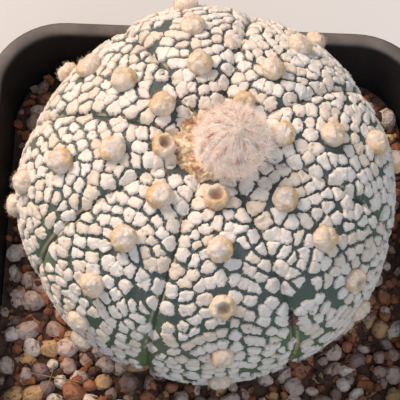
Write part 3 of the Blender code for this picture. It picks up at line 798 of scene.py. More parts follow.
# %% Outlines
def round_off(loop, times):
    """Evens out a closed line by averaging each point with its neighbours."""
    for _ in range(times):
        loop = 0.5 * loop + 0.25 * (np.roll(loop, 1, axis=0) + np.roll(loop, -1, axis=0))
    return loop


def even_steps(loop, step):
    closed = np.concatenate([loop, loop[:1]])
    lengths = np.concatenate([[0], np.cumsum(np.linalg.norm(np.diff(closed, axis=0), axis=1))])
    count = max(9, round(lengths[-1] / step))
    marks = np.linspace(0, lengths[-1], count, endpoint=False)
    return np.stack([np.interp(marks, lengths, closed[:, axis]) for axis in (0, 1)], 1)


def area_of(loop):
    after = np.roll(loop, -1, axis=0)
    return 0.5 * float(np.sum(loop[:, 0] * after[:, 1] - loop[:, 1] * after[:, 0]))


def lobe_outline(corners, gaps, reach, rng):
    """The edge of one lobe in the flat, round its seed: x along the azimuth, y down the arc.

    It follows the cell, drawn in by half of each side's gap. It strays little further from the
    seed than `reach`, and is scalloped: round bulges with a notch between them.
    """
    if area_of(corners) < 0:
        corners, gaps = corners[::-1], np.roll(gaps[::-1], -1)
    sides = []
    for corner, after, gap in zip(corners, np.roll(corners, -1, axis=0), gaps):
        length = np.linalg.norm(after - corner)
        along = (after - corner) / (length + 1e-12)
        inward = np.array((-along[1], along[0]))
        marks = np.linspace(0, 1, max(3, round(length / (0.5 * EDGE_STEP))), endpoint=False)
        sides.append(corner + (after - corner) * marks[:, None] + inward * gap / 2)
    loop = even_steps(round_off(np.concatenate(sides), CORNER_ROUNDS), EDGE_STEP)
    distance = np.linalg.norm(loop, axis=1, keepdims=True)
    outward = loop / distance
    loop = round_off(loop - outward * np.maximum(0, distance - reach) * REACH_FIRMNESS, 1)
    own = rng.uniform(0, 99)
    for index, (x, y) in enumerate(loop / SCALLOP_WIDTH):
        bulge = abs(noise.noise((x, y, own))) * 2 - SCALLOP_BASE
        loop[index] += outward[index] * (SCALLOP * bulge + rng.gauss(0, FRAY))
    return loop, -loop / MM


# %% [markdown]
# All outlines go into two meshes, since one would have too many triangles. Each point keeps what
# the next step needs: the way up, the way in from the edge, its plate's thickness and its tone.

# %% Laying out the plates
class PlateMesh:
    """Gathers flat plates, with what the tree that raises them needs at each point."""

    def __init__(self, name):
        self.name, self.points, self.faces = name, [], []
        self.marks = {"inset": [], "up": [], "lift": [], "tone": []}

    def add(self, outline, centre_stretch, centre_azimuth, lift, tone):
        loop, toward = outline
        arc0 = np.interp(centre_stretch, PROFILE_STRETCH, PROFILE_ARC)
        scale = np.interp(arc0, PROFILE_ARC, PROFILE_RADIUS)
        inner = loop + toward * DRAW_STEP

        def onto_skin(flat):
            arc = np.interp(centre_stretch + flat[:, 1] / scale, PROFILE_STRETCH, PROFILE_ARC)
            return arc, centre_azimuth + flat[:, 0] / scale

        places = skin(*onto_skin(loop))
        first = sum(len(p) for p in self.points)
        self.points.append(places)
        self.faces.append(list(range(first, first + len(loop)))[::-1])
        up = skin_normal(*onto_skin(loop)) + skin_normal(np.array([arc0]), np.array([centre_azimuth]))
        marks = {"inset": (skin(*onto_skin(inner)) - places) / DRAW_STEP,
                 "up": up / np.linalg.norm(up, axis=1, keepdims=True),
                 "lift": np.full(len(loop), lift), "tone": np.full(len(loop), tone)}
        for label, values in marks.items():
            self.marks[label].append(values)

    def build(self):
        piece = from_lists(self.name, np.concatenate(self.points).tolist(), self.faces, smooth=False)
        for label, values in self.marks.items():
            store(piece, label, np.concatenate(values))
        return piece


# %% Gaps, and all the plates
def gap_between(seed, beyond, plate, gap):
    """Lobes of a plate touch, those of a row lie close, and rows stand further apart."""
    if beyond >= len(seeds):
        return gap
    if plate[beyond] == plate[seed]:
        return GAP_JOINED
    return gap * (GAP_IN_ROW if rows[beyond] == rows[seed] else GAP_ACROSS)


def lay_out_plates(rng):
    everyone = np.concatenate([seeds, blank_seeds()])
    corners, borders = cell_graph(everyone)
    plate = grow_together(len(seeds), pairs, borders, rng)
    tones = {number: rng.random() for number in sorted(set(plate))}
    upper, lower = PlateMesh("scales_upper"), PlateMesh("scales_lower")
    for seed, ring in enumerate(cell_rings(borders, len(seeds))):
        arc, azimuth = seeds[seed]
        stretch = np.interp(arc, PROFILE_ARC, PROFILE_STRETCH)
        radius = np.interp(arc, PROFILE_ARC, PROFILE_RADIUS)
        places = corners[[corner for corner, _ in ring]]
        turn = (places[:, 1] - azimuth + math.pi) % math.tau - math.pi
        flat = np.stack([turn, places[:, 0] - stretch], 1) * radius
        age = arc / SOIL_ARC
        missing = MISSING[0] + (MISSING[1] - MISSING[0]) * age
        if abs(area_of(flat)) < SMALLEST_CELL or rng.random() < missing:
            continue
        gap = GAP_YOUNG + (GAP_OLD - GAP_YOUNG) * age + rng.uniform(*GAP_JITTER_MM) * MM
        gaps = np.array([gap_between(seed, beyond, plate, gap) for _, beyond in ring])
        reach = REACH_YOUNG + (REACH_OLD - REACH_YOUNG) * min(1, age * 1.15)
        reach *= rng.uniform(*REACH_VARIES)
        lift = SCALE_THICKNESS * rng.uniform(*THICKNESS_VARIES)
        tone = min(1, max(0, tones[plate[seed]] + rng.uniform(*TONE_JITTER)))
        half = upper if arc < LOWER_FROM * SOIL_ARC else lower
        half.add(lobe_outline(flat, gaps, reach, rng), stretch, azimuth, lift, tone)
    print(len(upper.faces), "lobes above and", len(lower.faces), "below")
    return upper.build(), lower.build()


# %% [markdown]
# What grows is made by Geometry Nodes. Every tree has named inputs and ends in the same way, so
# that one tree serves several pieces, each with settings of its own in its modifier.

# %% Helpers for Geometry Nodes trees
def geometry_tree(name, inputs):
    """A tree with named inputs: numbers, whole ones where the value is whole, and a material."""
    tree = bpy.data.node_groups.new(name, "GeometryNodeTree")
    tree.is_modifier = True
    for way in ("INPUT", "OUTPUT"):
        tree.interface.new_socket("Geometry", in_out=way, socket_type="NodeSocketGeometry")
    for label, value in inputs.items():
        kind = "NodeSocketInt" if isinstance(value, int) else "NodeSocketFloat"
        tree.interface.new_socket(label, in_out="INPUT", socket_type=kind).default_value = value
    tree.interface.new_socket("Material", in_out="INPUT", socket_type="NodeSocketMaterial")
    return tree, tree.nodes.new("NodeGroupInput"), tree.nodes.new("NodeGroupOutput")


def close_tree(tree, geometry, material, end):
    """Every tree ends in the same way: it clads what it made, and makes instances real."""
    clad = out(tree, "GeometryNodeSetMaterial", {"Geometry": geometry, "Material": material})
    real = out(tree, "GeometryNodeRealizeInstances", {"Geometry": clad})
    tree.links.new(real, end.inputs["Geometry"])
    return tree


def with_tree(piece, tree, **values):
    """Puts a Geometry Nodes tree on a piece and sets its inputs by their identifiers."""
    modifier = piece.modifiers.new(tree.name, "NODES")
    modifier.node_group = tree
    sockets = {item.name: item.identifier for item in tree.interface.items_tree
               if item.item_type == "SOCKET" and item.in_out == "INPUT"}
    for label, value in values.items():
        modifier[sockets[label.replace("_", " ")]] = value
    return piece


def named(tree, name, kind="FLOAT"):
    """What is stored on the geometry under a name."""
    made = tree.nodes.new("GeometryNodeInputNamedAttribute")
    made.data_type = kind
    made.inputs["Name"].default_value = name
    return next(socket for socket in made.outputs if socket.enabled and socket.name == "Attribute")


def scaled(tree, vector, factor):
    return out(tree, "ShaderNodeVectorMath", {0: vector, "Scale": factor}, operation="SCALE")


def summed(tree, a, b):
    return out(tree, "ShaderNodeVectorMath", {0: a, 1: b}, operation="ADD")


# %% [markdown]
# The first tree raises the flat plates. It sinks them a little into the skin. Each step then
# extrudes the top face, lifts it along the skin's normal and draws it in: first a short wall,
# then two rounds of the soft edge. Noise makes the top lumpy. A loop over the mesh could do it
# too, but in a tree the thickness and the lumps can be changed at the end.

# %% Raising the plates
SCALE_RINGS = ((-0.3, 0.0), (0.6, 0.02), (0.92, 0.13), (1.0, 0.45))     # height, and how far drawn in
LUMP_SCALE = 1300.0
KNUCKLE_SCALE = 560.0
LUMP_HEIGHT = 0.42 * MM


def felt_scale_tree():
    tree, start, end = geometry_tree("Felt scales", {"Thickness": 1.0, "Draw in": 1.0 * MM,
                                                     "Lumps": LUMP_HEIGHT})
    thickness = product(tree, named(tree, "lift"), start.outputs["Thickness"])
    up, inset = named(tree, "up", "FLOAT_VECTOR"), named(tree, "inset", "FLOAT_VECTOR")

    def move(before, after):
        """The way from one ring of a plate to the next."""
        lift = scaled(tree, up, product(tree, thickness, after[0] - before[0]))
        drawn_in = product(tree, start.outputs["Draw in"], after[1] - before[1])
        return summed(tree, lift, scaled(tree, inset, drawn_in))

    felt = out(tree, "GeometryNodeSetPosition", {"Geometry": start.outputs["Geometry"],
                                                 "Offset": move((0.0, 0.0), SCALE_RINGS[0])})
    top = True
    for before, after in zip(SCALE_RINGS, SCALE_RINGS[1:]):
        raised = add(tree, "GeometryNodeExtrudeMesh", {"Mesh": felt, "Selection": top,
                                                       "Offset Scale": 0.0, "Individual": False})
        top = raised.outputs["Top"]
        felt = out(tree, "GeometryNodeSetPosition", {"Geometry": raised.outputs["Mesh"],
                                                     "Selection": top, "Offset": move(before, after)})
    where = add(tree, "GeometryNodeInputPosition").outputs["Position"]
    lumps = out(tree, "ShaderNodeTexNoise", {"Vector": where, "Scale": LUMP_SCALE, "Detail": 1.0})
    centred = out(tree, "ShaderNodeMath", {0: lumps, 1: 0.5}, operation="SUBTRACT")
    rough = scaled(tree, up, product(tree, centred, start.outputs["Lumps"]))
    felt = out(tree, "GeometryNodeSetPosition", {"Geometry": felt, "Offset": rough})
    smooth = out(tree, "GeometryNodeSetShadeSmooth", {"Geometry": felt})
    return close_tree(tree, smooth, start.outputs["Material"], end)


felt_scales = felt_scale_tree()
print("the tree that raises plates has", len(felt_scales.nodes), "nodes")

# %% [markdown]
# Felt is nearly white. Each plate has a tone of its own, some creamier than others, stains
# gather between its fibres, and a few plates carry a rusty speck. A cell pattern in the bump
# gives the top the look of small knuckles.

# %% Felt
def scale_material():
    made, tree, shader = new_material("felt scales", 0.95)
    shader.inputs["Sheen Weight"].default_value = 0.25
    tone = attribute(tree, "tone")
    colour = ramp(tree, tone, ((0.0, (0.74, 0.62, 0.50)), (0.30, (0.80, 0.72, 0.63)),
                               (0.75, (0.82, 0.76, 0.69)), (1.0, (0.76, 0.65, 0.52))))
    grain = use(tree, FELT_GRAIN, Scale=3200.0)
    stain = remap(tree, grain.outputs["Value"], 0.50, 0.34, to_high=0.5)
    colour = mix(tree, stain, colour, (0.62, 0.50, 0.36))
    rust = use(tree, SPECKS, Scale=900.0, Rarity=0.93)
    colour = mix(tree, product(tree, rust.outputs["Mask"], 0.6), colour, (0.30, 0.14, 0.06))
    tree.links.new(colour, shader.inputs["Base Color"])
    knuckle = add(tree, "ShaderNodeTexVoronoi", {"Vector": object_place(tree), "Scale": KNUCKLE_SCALE})
    valley = product(tree, knuckle.outputs["Distance"], -2.2)
    relief = out(tree, "ShaderNodeMath", {0: valley, 1: grain.outputs["Height"]}, operation="ADD")
    bump(tree, shader, relief, 0.22 * MM)
    return made


white_felt = scale_material()
plates = [finish_piece(with_tree(half, felt_scales, Material=white_felt), "cactus_body")
          for half in lay_out_plates(rng)]

# %% [markdown]
# ## Fibres
#
# Wool, silk and felt are the same thing at different lengths, so one Geometry Nodes tree grows
# them all. It scatters points on a surface, stands a short curve on each, leans it between the
# surface's own normal and the direction stored in the `lean` attribute, bends it by noise, and
# sweeps a tapering triangle along it. Every fibre keeps its place along its length in `along`
# and a random number in `strand`, for the material. Hair curves would be lighter, but what is
# handed on has to be a mesh.

# %% Random values and stored numbers
def random_value(tree, kind, low, high, seed):
    made = tree.nodes.new("FunctionNodeRandomValue")
    made.data_type = kind
    usable = [socket for socket in made.inputs if socket.enabled]
    for socket, value in zip(usable, (low, high)):
        if isinstance(value, bpy.types.NodeSocket):
            tree.links.new(value, socket)
        else:
            socket.default_value = value
    next(socket for socket in usable if socket.name == "Seed").default_value = seed
    return next(socket for socket in made.outputs if socket.enabled)


def keep(tree, geometry, name, value, domain="POINT"):
    """Stores a number on the geometry under a name."""
    return out(tree, "GeometryNodeStoreNamedAttribute",
               {"Geometry": geometry, "Name": name, "Value": value}, data_type="FLOAT", domain=domain)


# %% Tree of fibres
def fibre_tree():
    tree, start, end = geometry_tree("Fibres", {
        "Density": 1e6, "Shortest": 1 * MM, "Longest": 2 * MM, "Stand": 0.5, "Lean": 0.5,
        "Disorder": 0.2, "Tufts": 0.2, "Wave": 0.3 * MM, "Wave scale": 400.0,
        "Thickness": 0.03 * MM, "Seed": 1, "Steps": 4})
    value = start.outputs

    scatter = add(tree, "GeometryNodeDistributePointsOnFaces",
                  {"Mesh": value["Geometry"], "Density": value["Density"], "Seed": value["Seed"]})
    stray = random_value(tree, "FLOAT_VECTOR", (-1, -1, -1), (1, 1, 1), 5)
    stray = scaled(tree, stray, value["Disorder"])
    here = add(tree, "GeometryNodeInputPosition").outputs["Position"]
    tuft = add(tree, "ShaderNodeTexNoise", {"Vector": here, "Scale": 650.0, "Detail": 1.0})
    tuft = out(tree, "ShaderNodeVectorMath", {0: tuft.outputs["Color"], 1: (0.5, 0.5, 0.5)},
               operation="SUBTRACT")
    stray = summed(tree, stray, scaled(tree, tuft, product(tree, value["Tufts"], 4.0)))
    heading = summed(tree, scaled(tree, scatter.outputs["Normal"], value["Stand"]),
                     scaled(tree, named(tree, "lean", "FLOAT_VECTOR"), value["Lean"]))
    turned = out(tree, "FunctionNodeAlignRotationToVector", {"Vector": summed(tree, heading, stray)},
                 axis="Z")
    length = random_value(tree, "FLOAT", value["Shortest"], value["Longest"], 7)
    line = out(tree, "GeometryNodeCurvePrimitiveLine", {"Start": (0, 0, 0), "End": (0, 0, 1)})
    line = out(tree, "GeometryNodeResampleCurve", {"Curve": line, "Count": value["Steps"]})
    fibres = out(tree, "GeometryNodeInstanceOnPoints", {
        "Points": scatter.outputs["Points"], "Instance": line, "Rotation": turned, "Scale": length})
    fibres = keep(tree, fibres, "strand", random_value(tree, "FLOAT", 0.0, 1.0, 9), "INSTANCE")
    fibres = out(tree, "GeometryNodeRealizeInstances", {"Geometry": fibres})

    along = add(tree, "GeometryNodeSplineParameter").outputs["Factor"]
    where = add(tree, "GeometryNodeInputPosition").outputs["Position"]
    where = summed(tree, where, scaled(tree, named(tree, "strand"), 0.02))
    swirl = add(tree, "ShaderNodeTexNoise", {"Vector": where, "Scale": value["Wave scale"],
                                             "Detail": 1.0})
    centred = out(tree, "ShaderNodeVectorMath", {0: swirl.outputs["Color"], 1: (0.5, 0.5, 0.5)},
                  operation="SUBTRACT")
    amount = product(tree, product(tree, along, along), product(tree, value["Wave"], 2.0))
    bend = scaled(tree, centred, amount)
    fibres = out(tree, "GeometryNodeSetPosition", {"Geometry": fibres, "Offset": bend})
    fibres = keep(tree, fibres, "along", along)
    taper = remap(tree, along, 0.0, 1.0, 1.0, 0.25)
    profile = out(tree, "GeometryNodeCurvePrimitiveCircle", {"Resolution": 3,
                                                             "Radius": value["Thickness"]})
    swept = out(tree, "GeometryNodeCurveToMesh", {"Curve": fibres, "Profile Curve": profile,
                                                  "Scale": taper})
    smooth = out(tree, "GeometryNodeSetShadeSmooth", {"Geometry": swept})
    return close_tree(tree, smooth, value["Material"], end)


FIBRES = fibre_tree()
print("the tree of fibres has", len(FIBRES.nodes), "nodes")


# %% Growing fibres, and their colours
def grow_fibres(name, ground, node, slot, **settings):
    """Fibres on a copy of the ground's mesh, as a piece of their own."""
    piece = mesh_object(name, ground.data.copy())
    return finish_piece(with_tree(piece, FIBRES, **settings), node)


def fibre_material(name, root, middle, tip, strand_shift, glow=0.0):
    """Fibres change colour from root to tip, and no two are quite the same.

    Packed white hairs pass light on to each other many more times than a render follows it, and
    a faint glow of their own colour stands for the light that is lost.
    """
    made, tree, shader = new_material(name, 0.85, Specular_IOR_Level=0.2, Emission_Strength=glow)
    colour = ramp(tree, attribute(tree, "along"), ((0.0, root), (0.5, middle), (1.0, tip)))
    colour = mix(tree, product(tree, attribute(tree, "strand"), 0.55), colour, strand_shift)
    tree.links.new(colour, shader.inputs["Base Color"])
    tree.links.new(colour, shader.inputs["Emission Color"])
    return made


# %% [markdown]
# The felt itself gets the first fibres, a nap so short that it shows only as a soft surface and
# an uneven edge. It lies outward over the edge of each plate, against the direction in which
# the edge is drawn in, and that frays the outline as felt frays.

# %% Nap of the scales
nap = fibre_material("nap", (0.78, 0.70, 0.60), (0.84, 0.78, 0.71), (0.90, 0.86, 0.80),
                     (0.80, 0.72, 0.62))
for half, name in zip(plates, ("nap_upper", "nap_lower")):
    half.data.attributes["inset"].name = "lean"
    grow_fibres(name, half, "cactus_body", "cactus_skin", Density=2.7e6, Shortest=0.18 * MM,
                Longest=0.42 * MM, Stand=0.30, Lean=-0.9, Disorder=0.30, Tufts=0.3, Wave=0.0,
                Thickness=0.050 * MM, Steps=2, Seed=12, Material=nap)

# %% [markdown]
# ## Areoles
#
# An areole is a lumpy dome of packed wool with a fine grain that runs from its top to its foot.
# The wool is cream where it is fresh, on top and uphill, and golden where it has aged below. A
# few have a hollow with a rusty floor, most of them next to the crown, and some a pale cap. All
# the domes are one mesh of rings. Metaballs would give lumps as soft, but a ring's points can
# keep the marks that the material needs. Short fibres grow on the domes, so none looks hard.

# %% Areole domes
PAD_HEIGHT = 2.7 * MM
PAD_RINGS = 12
PAD_SEGMENTS = 40
PAD_SUNK = 0.5 * MM
PAD_LUMP = 0.22 * MM
LOWEST_PAD_SHRINK = 0.45
DEEP_HOLLOW = 1.3 * MM
HOLLOWS = {0: 1.3 * MM, 1: 0.7 * MM, 2: 1.4 * MM, 18: 0.9 * MM, 23: 0.6 * MM, 33: 0.6 * MM}
CAPPED = {4, 5, 7, 8, 10, 13, 16, 24, 29}     # counted from the crown, as the hollows are


def dome_rings(radius, height, hollow):
    """Radius and height of each ring of a dome, from its foot to its top."""
    yield radius * 0.84, -PAD_SUNK
    yield radius * 0.93, height * 0.10
    for ring in range(PAD_RINGS):
        angle = ring / PAD_RINGS * math.pi / 2
        wide = radius * math.cos(angle) ** 0.85
        dip = hollow * math.exp(-(wide / (0.50 * radius)) ** 4)
        yield wide, height * (0.32 + 0.68 * math.sin(angle)) - dip


# %% All the pads in one mesh
def areole_pads():
    points, faces = [], []
    marks = {"top": [], "old": [], "hollow": [], "cap": [], "lean": [], "strands": []}
    dice = random.Random(3)
    for order, (rib, arc) in enumerate(AREOLES):
        azimuth = float(azimuth_on(rib, 0.0))
        foot = Vector(skin(arc, azimuth))
        normal = Vector(skin_normal(arc, azimuth))
        down = Vector(skin(arc + 0.5 * MM, azimuth)) - Vector(skin(arc - 0.5 * MM, azimuth))
        down.normalize()
        side = normal.cross(down)
        late = max(0.0, arc / BODY_RADIUS - 1)
        radius = PAD_RADIUS * dice.uniform(0.93, 1.06) * (1 - 0.15 * min(1, late))
        height = PAD_HEIGHT * dice.uniform(0.88, 1.08) * (1 - LOWEST_PAD_SHRINK * min(1, late))
        hollow = HOLLOWS.get(order, 0.0)
        turned = dice.gauss(0, 0.6)
        tilt = (down * dice.uniform(-0.25, 0.1) + side * dice.uniform(-0.15, 0.15)) * 0.6
        first = len(points)
        rings = list(dome_rings(radius, height, hollow))
        for wide, tall in rings:
            for step in range(PAD_SEGMENTS):
                turn = math.tau * step / PAD_SEGMENTS
                flat = down * math.cos(turn) + side * math.sin(turn)
                smooth = foot + flat * wide + normal * tall
                lump = noise.noise(smooth / (1.1 * MM)) + 0.8 * noise.noise(smooth / (0.45 * MM))
                lump += 0.8 * noise.noise((1.6 * math.cos(turn), 1.6 * math.sin(turn), 9 * order))
                point = foot + flat * wide * (1 + 0.11 * lump) + (normal + tilt * tall / height) * tall
                points.append(point + normal * (PAD_LUMP * lump))
                middle = max(0.0, 1 - (wide / (0.62 * radius)) ** 2)
                marks["top"].append(max(0.0, tall / height))
                marks["old"].append(0.5 + 0.5 * math.cos(turn - turned) * wide / radius)
                marks["hollow"].append(hollow / DEEP_HOLLOW * middle)
                marks["cap"].append(middle if order in CAPPED else 0.0)
                marks["lean"].append(normal if not hollow else (normal + flat * 0.3).normalized())
                marks["strands"].append((math.cos(turn), math.sin(turn), order + 0.12 * tall / height))
        faces += ring_faces(first, len(rings), PAD_SEGMENTS)
    piece = from_lists("areole_pads", points, faces)
    for name, values in marks.items():
        store(piece, name, values)
    return piece


# %% Wool of the pads
def pad_material():
    made, tree, shader = new_material("areole wool", 0.95)
    shader.inputs["Sheen Weight"].default_value = 0.3
    grain = use(tree, FELT_GRAIN, Scale=3000.0)
    golden = ramp(tree, attribute(tree, "top"), ((0.0, (0.50, 0.30, 0.12)), (0.40, (0.66, 0.40, 0.16)),
                                                 (0.78, (0.76, 0.51, 0.26)), (1.0, (0.80, 0.62, 0.42))))
    fresh = remap(tree, attribute(tree, "old"), 0.30, 0.62, 0.65, 0.0)
    colour = mix(tree, fresh, golden, (0.84, 0.74, 0.64))
    capped = ramp(tree, attribute(tree, "cap"), ((0.1, (0, 0, 0)), (0.5, (1, 1, 1))))
    colour = mix(tree, capped, colour, (0.84, 0.73, 0.66))
    streak = out(tree, "ShaderNodeTexNoise", {"Vector": attribute(tree, "strands", "Vector"),
                                              "Scale": 11.0, "Detail": 3.0, "Roughness": 0.65})
    dark = remap(tree, streak, 0.50, 0.30, to_high=0.5)
    colour = mix(tree, dark, colour, (0.42, 0.24, 0.09))
    tuft = use(tree, FELT_GRAIN, Scale=800.0)
    pale = remap(tree, tuft.outputs["Height"], 0.50, 0.66, to_high=0.8)
    colour = mix(tree, pale, colour, (0.90, 0.80, 0.68))
    rusty = mix(tree, attribute(tree, "hollow"), colour, (0.26, 0.13, 0.07))
    tree.links.new(rusty, shader.inputs["Base Color"])
    both = out(tree, "ShaderNodeMath", {0: streak, 1: grain.outputs["Height"]}, operation="ADD")
    bump(tree, shader, both, 0.20 * MM)
    return made


pads = areole_pads()
pads.data.materials.append(pad_material())
grow_fibres("areole_fibres", pads, "cactus_body", "cactus_skin", Density=3.8e6, Shortest=0.25 * MM,
            Longest=0.80 * MM, Stand=0.30, Lean=0.8, Disorder=0.25, Tufts=0.45, Wave=0.4 * MM,
            Thickness=0.022 * MM, Steps=3,
            Material=fibre_material("areole fibres", (0.72, 0.50, 0.26), (0.82, 0.65, 0.43),
                                    (0.90, 0.79, 0.63), (0.88, 0.77, 0.62)))
finish_piece(pads, "cactus_body")

# %% [markdown]
# ## Crown wool
#
# Round the foot of the bud the newest areoles have run together into a matted cushion: short,
# tangled, tan, with rusty patches. It is made as the pads are, with rings of points pushed about
# by fractal noise, and the same tree grows its tangle, with more disorder and wave.

# %% Crown
WOOL_RISE = 3.3 * MM
CUSHION_RADIUS = 7.0 * MM
CROWN_RINGS = 36
CROWN_SEGMENTS = 120


def crown_cushion():
    points, leans = [], []
    for ring in range(CROWN_RINGS + 1):
        share = ring / CROWN_RINGS
        for step in range(CROWN_SEGMENTS):
            turn = math.tau * step / CROWN_SEGMENTS
            bulge = noise.noise((1.5 * math.cos(turn), 1.5 * math.sin(turn), 4))
            outer = CUSHION_RADIUS * (1 + 0.14 * bulge)
            reach = outer * (1 - share) ** 0.8
            foot = Vector(skin(max(reach, 0.05 * MM), turn))
            lump = noise.fractal(foot / (1.4 * MM), 0.5, 2.0, 4)
            rise = WOOL_RISE * max(0, 1 - (reach / outer) ** 2) ** 0.5 * 0.85
            edge = 0.65 * MM * lump
            flat = Vector((math.cos(turn), math.sin(turn), 0))
            points.append(foot + Vector((0, 0, rise - 0.3 * MM + edge)) + flat * edge * 0.8)
            leans.append((flat + Vector((0, 0, 0.5))).normalized())
    piece = from_lists("crown_cushion", points, ring_faces(0, CROWN_RINGS + 1, CROWN_SEGMENTS))
    store(piece, "lean", leans)
    return piece


# %% Wool of the crown
def crown_material():
    made, tree, shader = new_material("crown wool", 0.95)
    shader.inputs["Sheen Weight"].default_value = 0.3
    grain = use(tree, FELT_GRAIN, Scale=1500.0)
    patches = use(tree, FELT_GRAIN, Scale=420.0)
    colour = ramp(tree, patches.outputs["Height"], (
        (0.40, (0.36, 0.17, 0.08)), (0.47, (0.66, 0.45, 0.28)), (0.56, (0.84, 0.72, 0.57))))
    colour = mix(tree, grain.outputs["Value"], colour, (0.55, 0.46, 0.36), "OVERLAY")
    tree.links.new(colour, shader.inputs["Base Color"])
    bump(tree, shader, grain.outputs["Height"], 0.35 * MM)
    return made


cushion = crown_cushion()
cushion.data.materials.append(crown_material())
grow_fibres("crown_fibres", cushion, "crown_wool", "crown_wool", Density=6.0e6,
            Shortest=0.4 * MM, Longest=1.1 * MM, Stand=0.40, Lean=0.4, Disorder=0.9, Tufts=0.6,
            Wave=0.7 * MM, Wave_scale=900.0, Thickness=0.028 * MM, Seed=4,
            Material=fibre_material("crown fibres", (0.50, 0.31, 0.18), (0.74, 0.58, 0.40),
                                    (0.84, 0.72, 0.56), (0.78, 0.54, 0.28)))
finish_piece(cushion, "crown_wool")

# %% [markdown]
# ## Bud
#
# Under its hair the bud is an egg of bracts with brown-pink tips. Silky hair grows from between
# them and sweeps up to the tip, where it closes in a whorl. The egg is drawn as combed hair, so
# that no gap shows skin. Short down and longer silk grow on it, and a few bracts come through.

# %% Sizes and place of the bud
BUD_OFFSET = 3.0 * MM
BUD_AZIMUTH = math.radians(-14)
BUD_LEAN = math.radians(6)
BUD_RADIUS = 5.9 * MM
BUD_LENGTH = 10.6 * MM
BUD_FOOT_SHARE = 0.14         # the share of a whole egg that is left out below the foot
BUD_BLUNTNESS = 0.62
BUD_FLUFF = 0.55 * MM
HEART_AT, HEART_SPAN = 0.72, 0.34             # the brown zone, as shares of the bud's length
BUD_SINK = 1.3 * MM
BUD_RINGS = 56
BUD_SEGMENTS = 90


def bud_frame():
    way = Vector((math.cos(BUD_AZIMUTH), math.sin(BUD_AZIMUTH), 0))
    dimple = skin(BUD_OFFSET, BUD_AZIMUTH)[2]
    height = Vector((0, 0, dimple + WOOL_RISE - BUD_SINK))
    foot = Vector((EQUATOR.x, EQUATOR.y, 0)) + way * BUD_OFFSET + height
    return foot, Matrix.Rotation(BUD_LEAN, 3, Vector((-way.y, way.x, 0)))


BUD_FOOT, BUD_TURN = bud_frame()
print("the bud's foot is", round((BUD_FOOT.z - pot_high.z) / MM, 1), "mm above the pot's rim")


def bud_surface(share, turn, swell=0.0):
    """A point of the bud's egg, from its foot at 0 to its tip at 1."""
    egg = min(1, share * (1 - BUD_FOOT_SHARE) + BUD_FOOT_SHARE)
    wide = BUD_RADIUS * math.sin(math.pi * egg) ** BUD_BLUNTNESS + swell
    local = Vector((wide * math.cos(turn), wide * math.sin(turn), BUD_LENGTH * share))
    return BUD_FOOT + BUD_TURN @ local


# %% The combed egg
def bud_core():
    points, leans, combs, hearts = [], [], [], []
    axis = BUD_TURN @ Vector((0, 0, 1))
    for ring in range(BUD_RINGS + 1):
        share = min(0.999, ring / BUD_RINGS)
        for step in range(BUD_SEGMENTS):
            turn = math.tau * step / BUD_SEGMENTS
            point = bud_surface(share, turn)
            fluff = noise.fractal(Vector((point.x, point.y, point.z * 0.45)) / (1.2 * MM), 0.7, 2.0, 3)
            point = bud_surface(share, turn, BUD_FLUFF * fluff * math.sin(math.pi * share))
            points.append(point)
            toward = bud_surface(min(0.999, share + 0.06), turn + 0.06) - point
            leans.append((toward.normalized() + axis * 0.2).normalized())
            patchy = 0.6 + 0.4 * noise.noise(point / (3 * MM))
            hearts.append(max(0, 1 - abs(share - HEART_AT) / HEART_SPAN) * patchy)
            swirl = turn + 0.5 * share
            combs.append((math.cos(swirl), math.sin(swirl), 0.22 * share))
    piece = from_lists("bud_core", points, ring_faces(0, BUD_RINGS + 1, BUD_SEGMENTS))
    for name, values in (("lean", leans), ("comb", combs), ("heart", hearts)):
        store(piece, name, values)
    return piece


# %% Bracts
BRACTS = 14
BRACT_LENGTH = 2.8 * MM
BRACT_WIDTH = 0.28 * MM
BRACTS_FROM, BRACTS_SPAN = 0.58, 0.34         # as shares of the bud's length
GOLDEN_TURN = math.pi * (3 - math.sqrt(5))


def bud_bracts():
    """Narrow pointed leaves in a spiral, each a folded blade."""
    dice = random.Random(8)
    bm = bmesh.new()
    tips = bm.verts.layers.float.new("along")
    strands = bm.verts.layers.float.new("strand")
    for number in range(BRACTS):
        share = BRACTS_FROM + BRACTS_SPAN * (number + 0.5) / BRACTS
        turn = number * GOLDEN_TURN
        root = bud_surface(share, turn, 0.1 * MM)
        ahead = (bud_surface(min(0.99, share + 0.1), turn) - root).normalized()
        outward = (bud_surface(share, turn, MM) - bud_surface(share, turn)).normalized()
        side = ahead.cross(outward).normalized()
        length = BRACT_LENGTH * dice.uniform(0.7, 1.1)
        odd = dice.random()
        rows = []
        for step in range(5):
            t = step / 4
            centre = root + ahead * length * t + outward * (0.9 * MM * t * (1 - 0.3 * t))
            wide = BRACT_WIDTH * (1 - t) ** 0.6 + 0.02 * MM
            row = [centre - side * wide, centre + outward * 0.22 * MM * (1 - t), centre + side * wide,
                   centre - outward * 0.12 * MM]
            rows.append([bm.verts.new(p) for p in row])
            for corner in rows[-1]:
                corner[tips], corner[strands] = t, odd
        loft(bm, rows)
    bmesh.ops.recalc_face_normals(bm, faces=bm.faces)
    return from_bmesh("bud_bracts", bm)


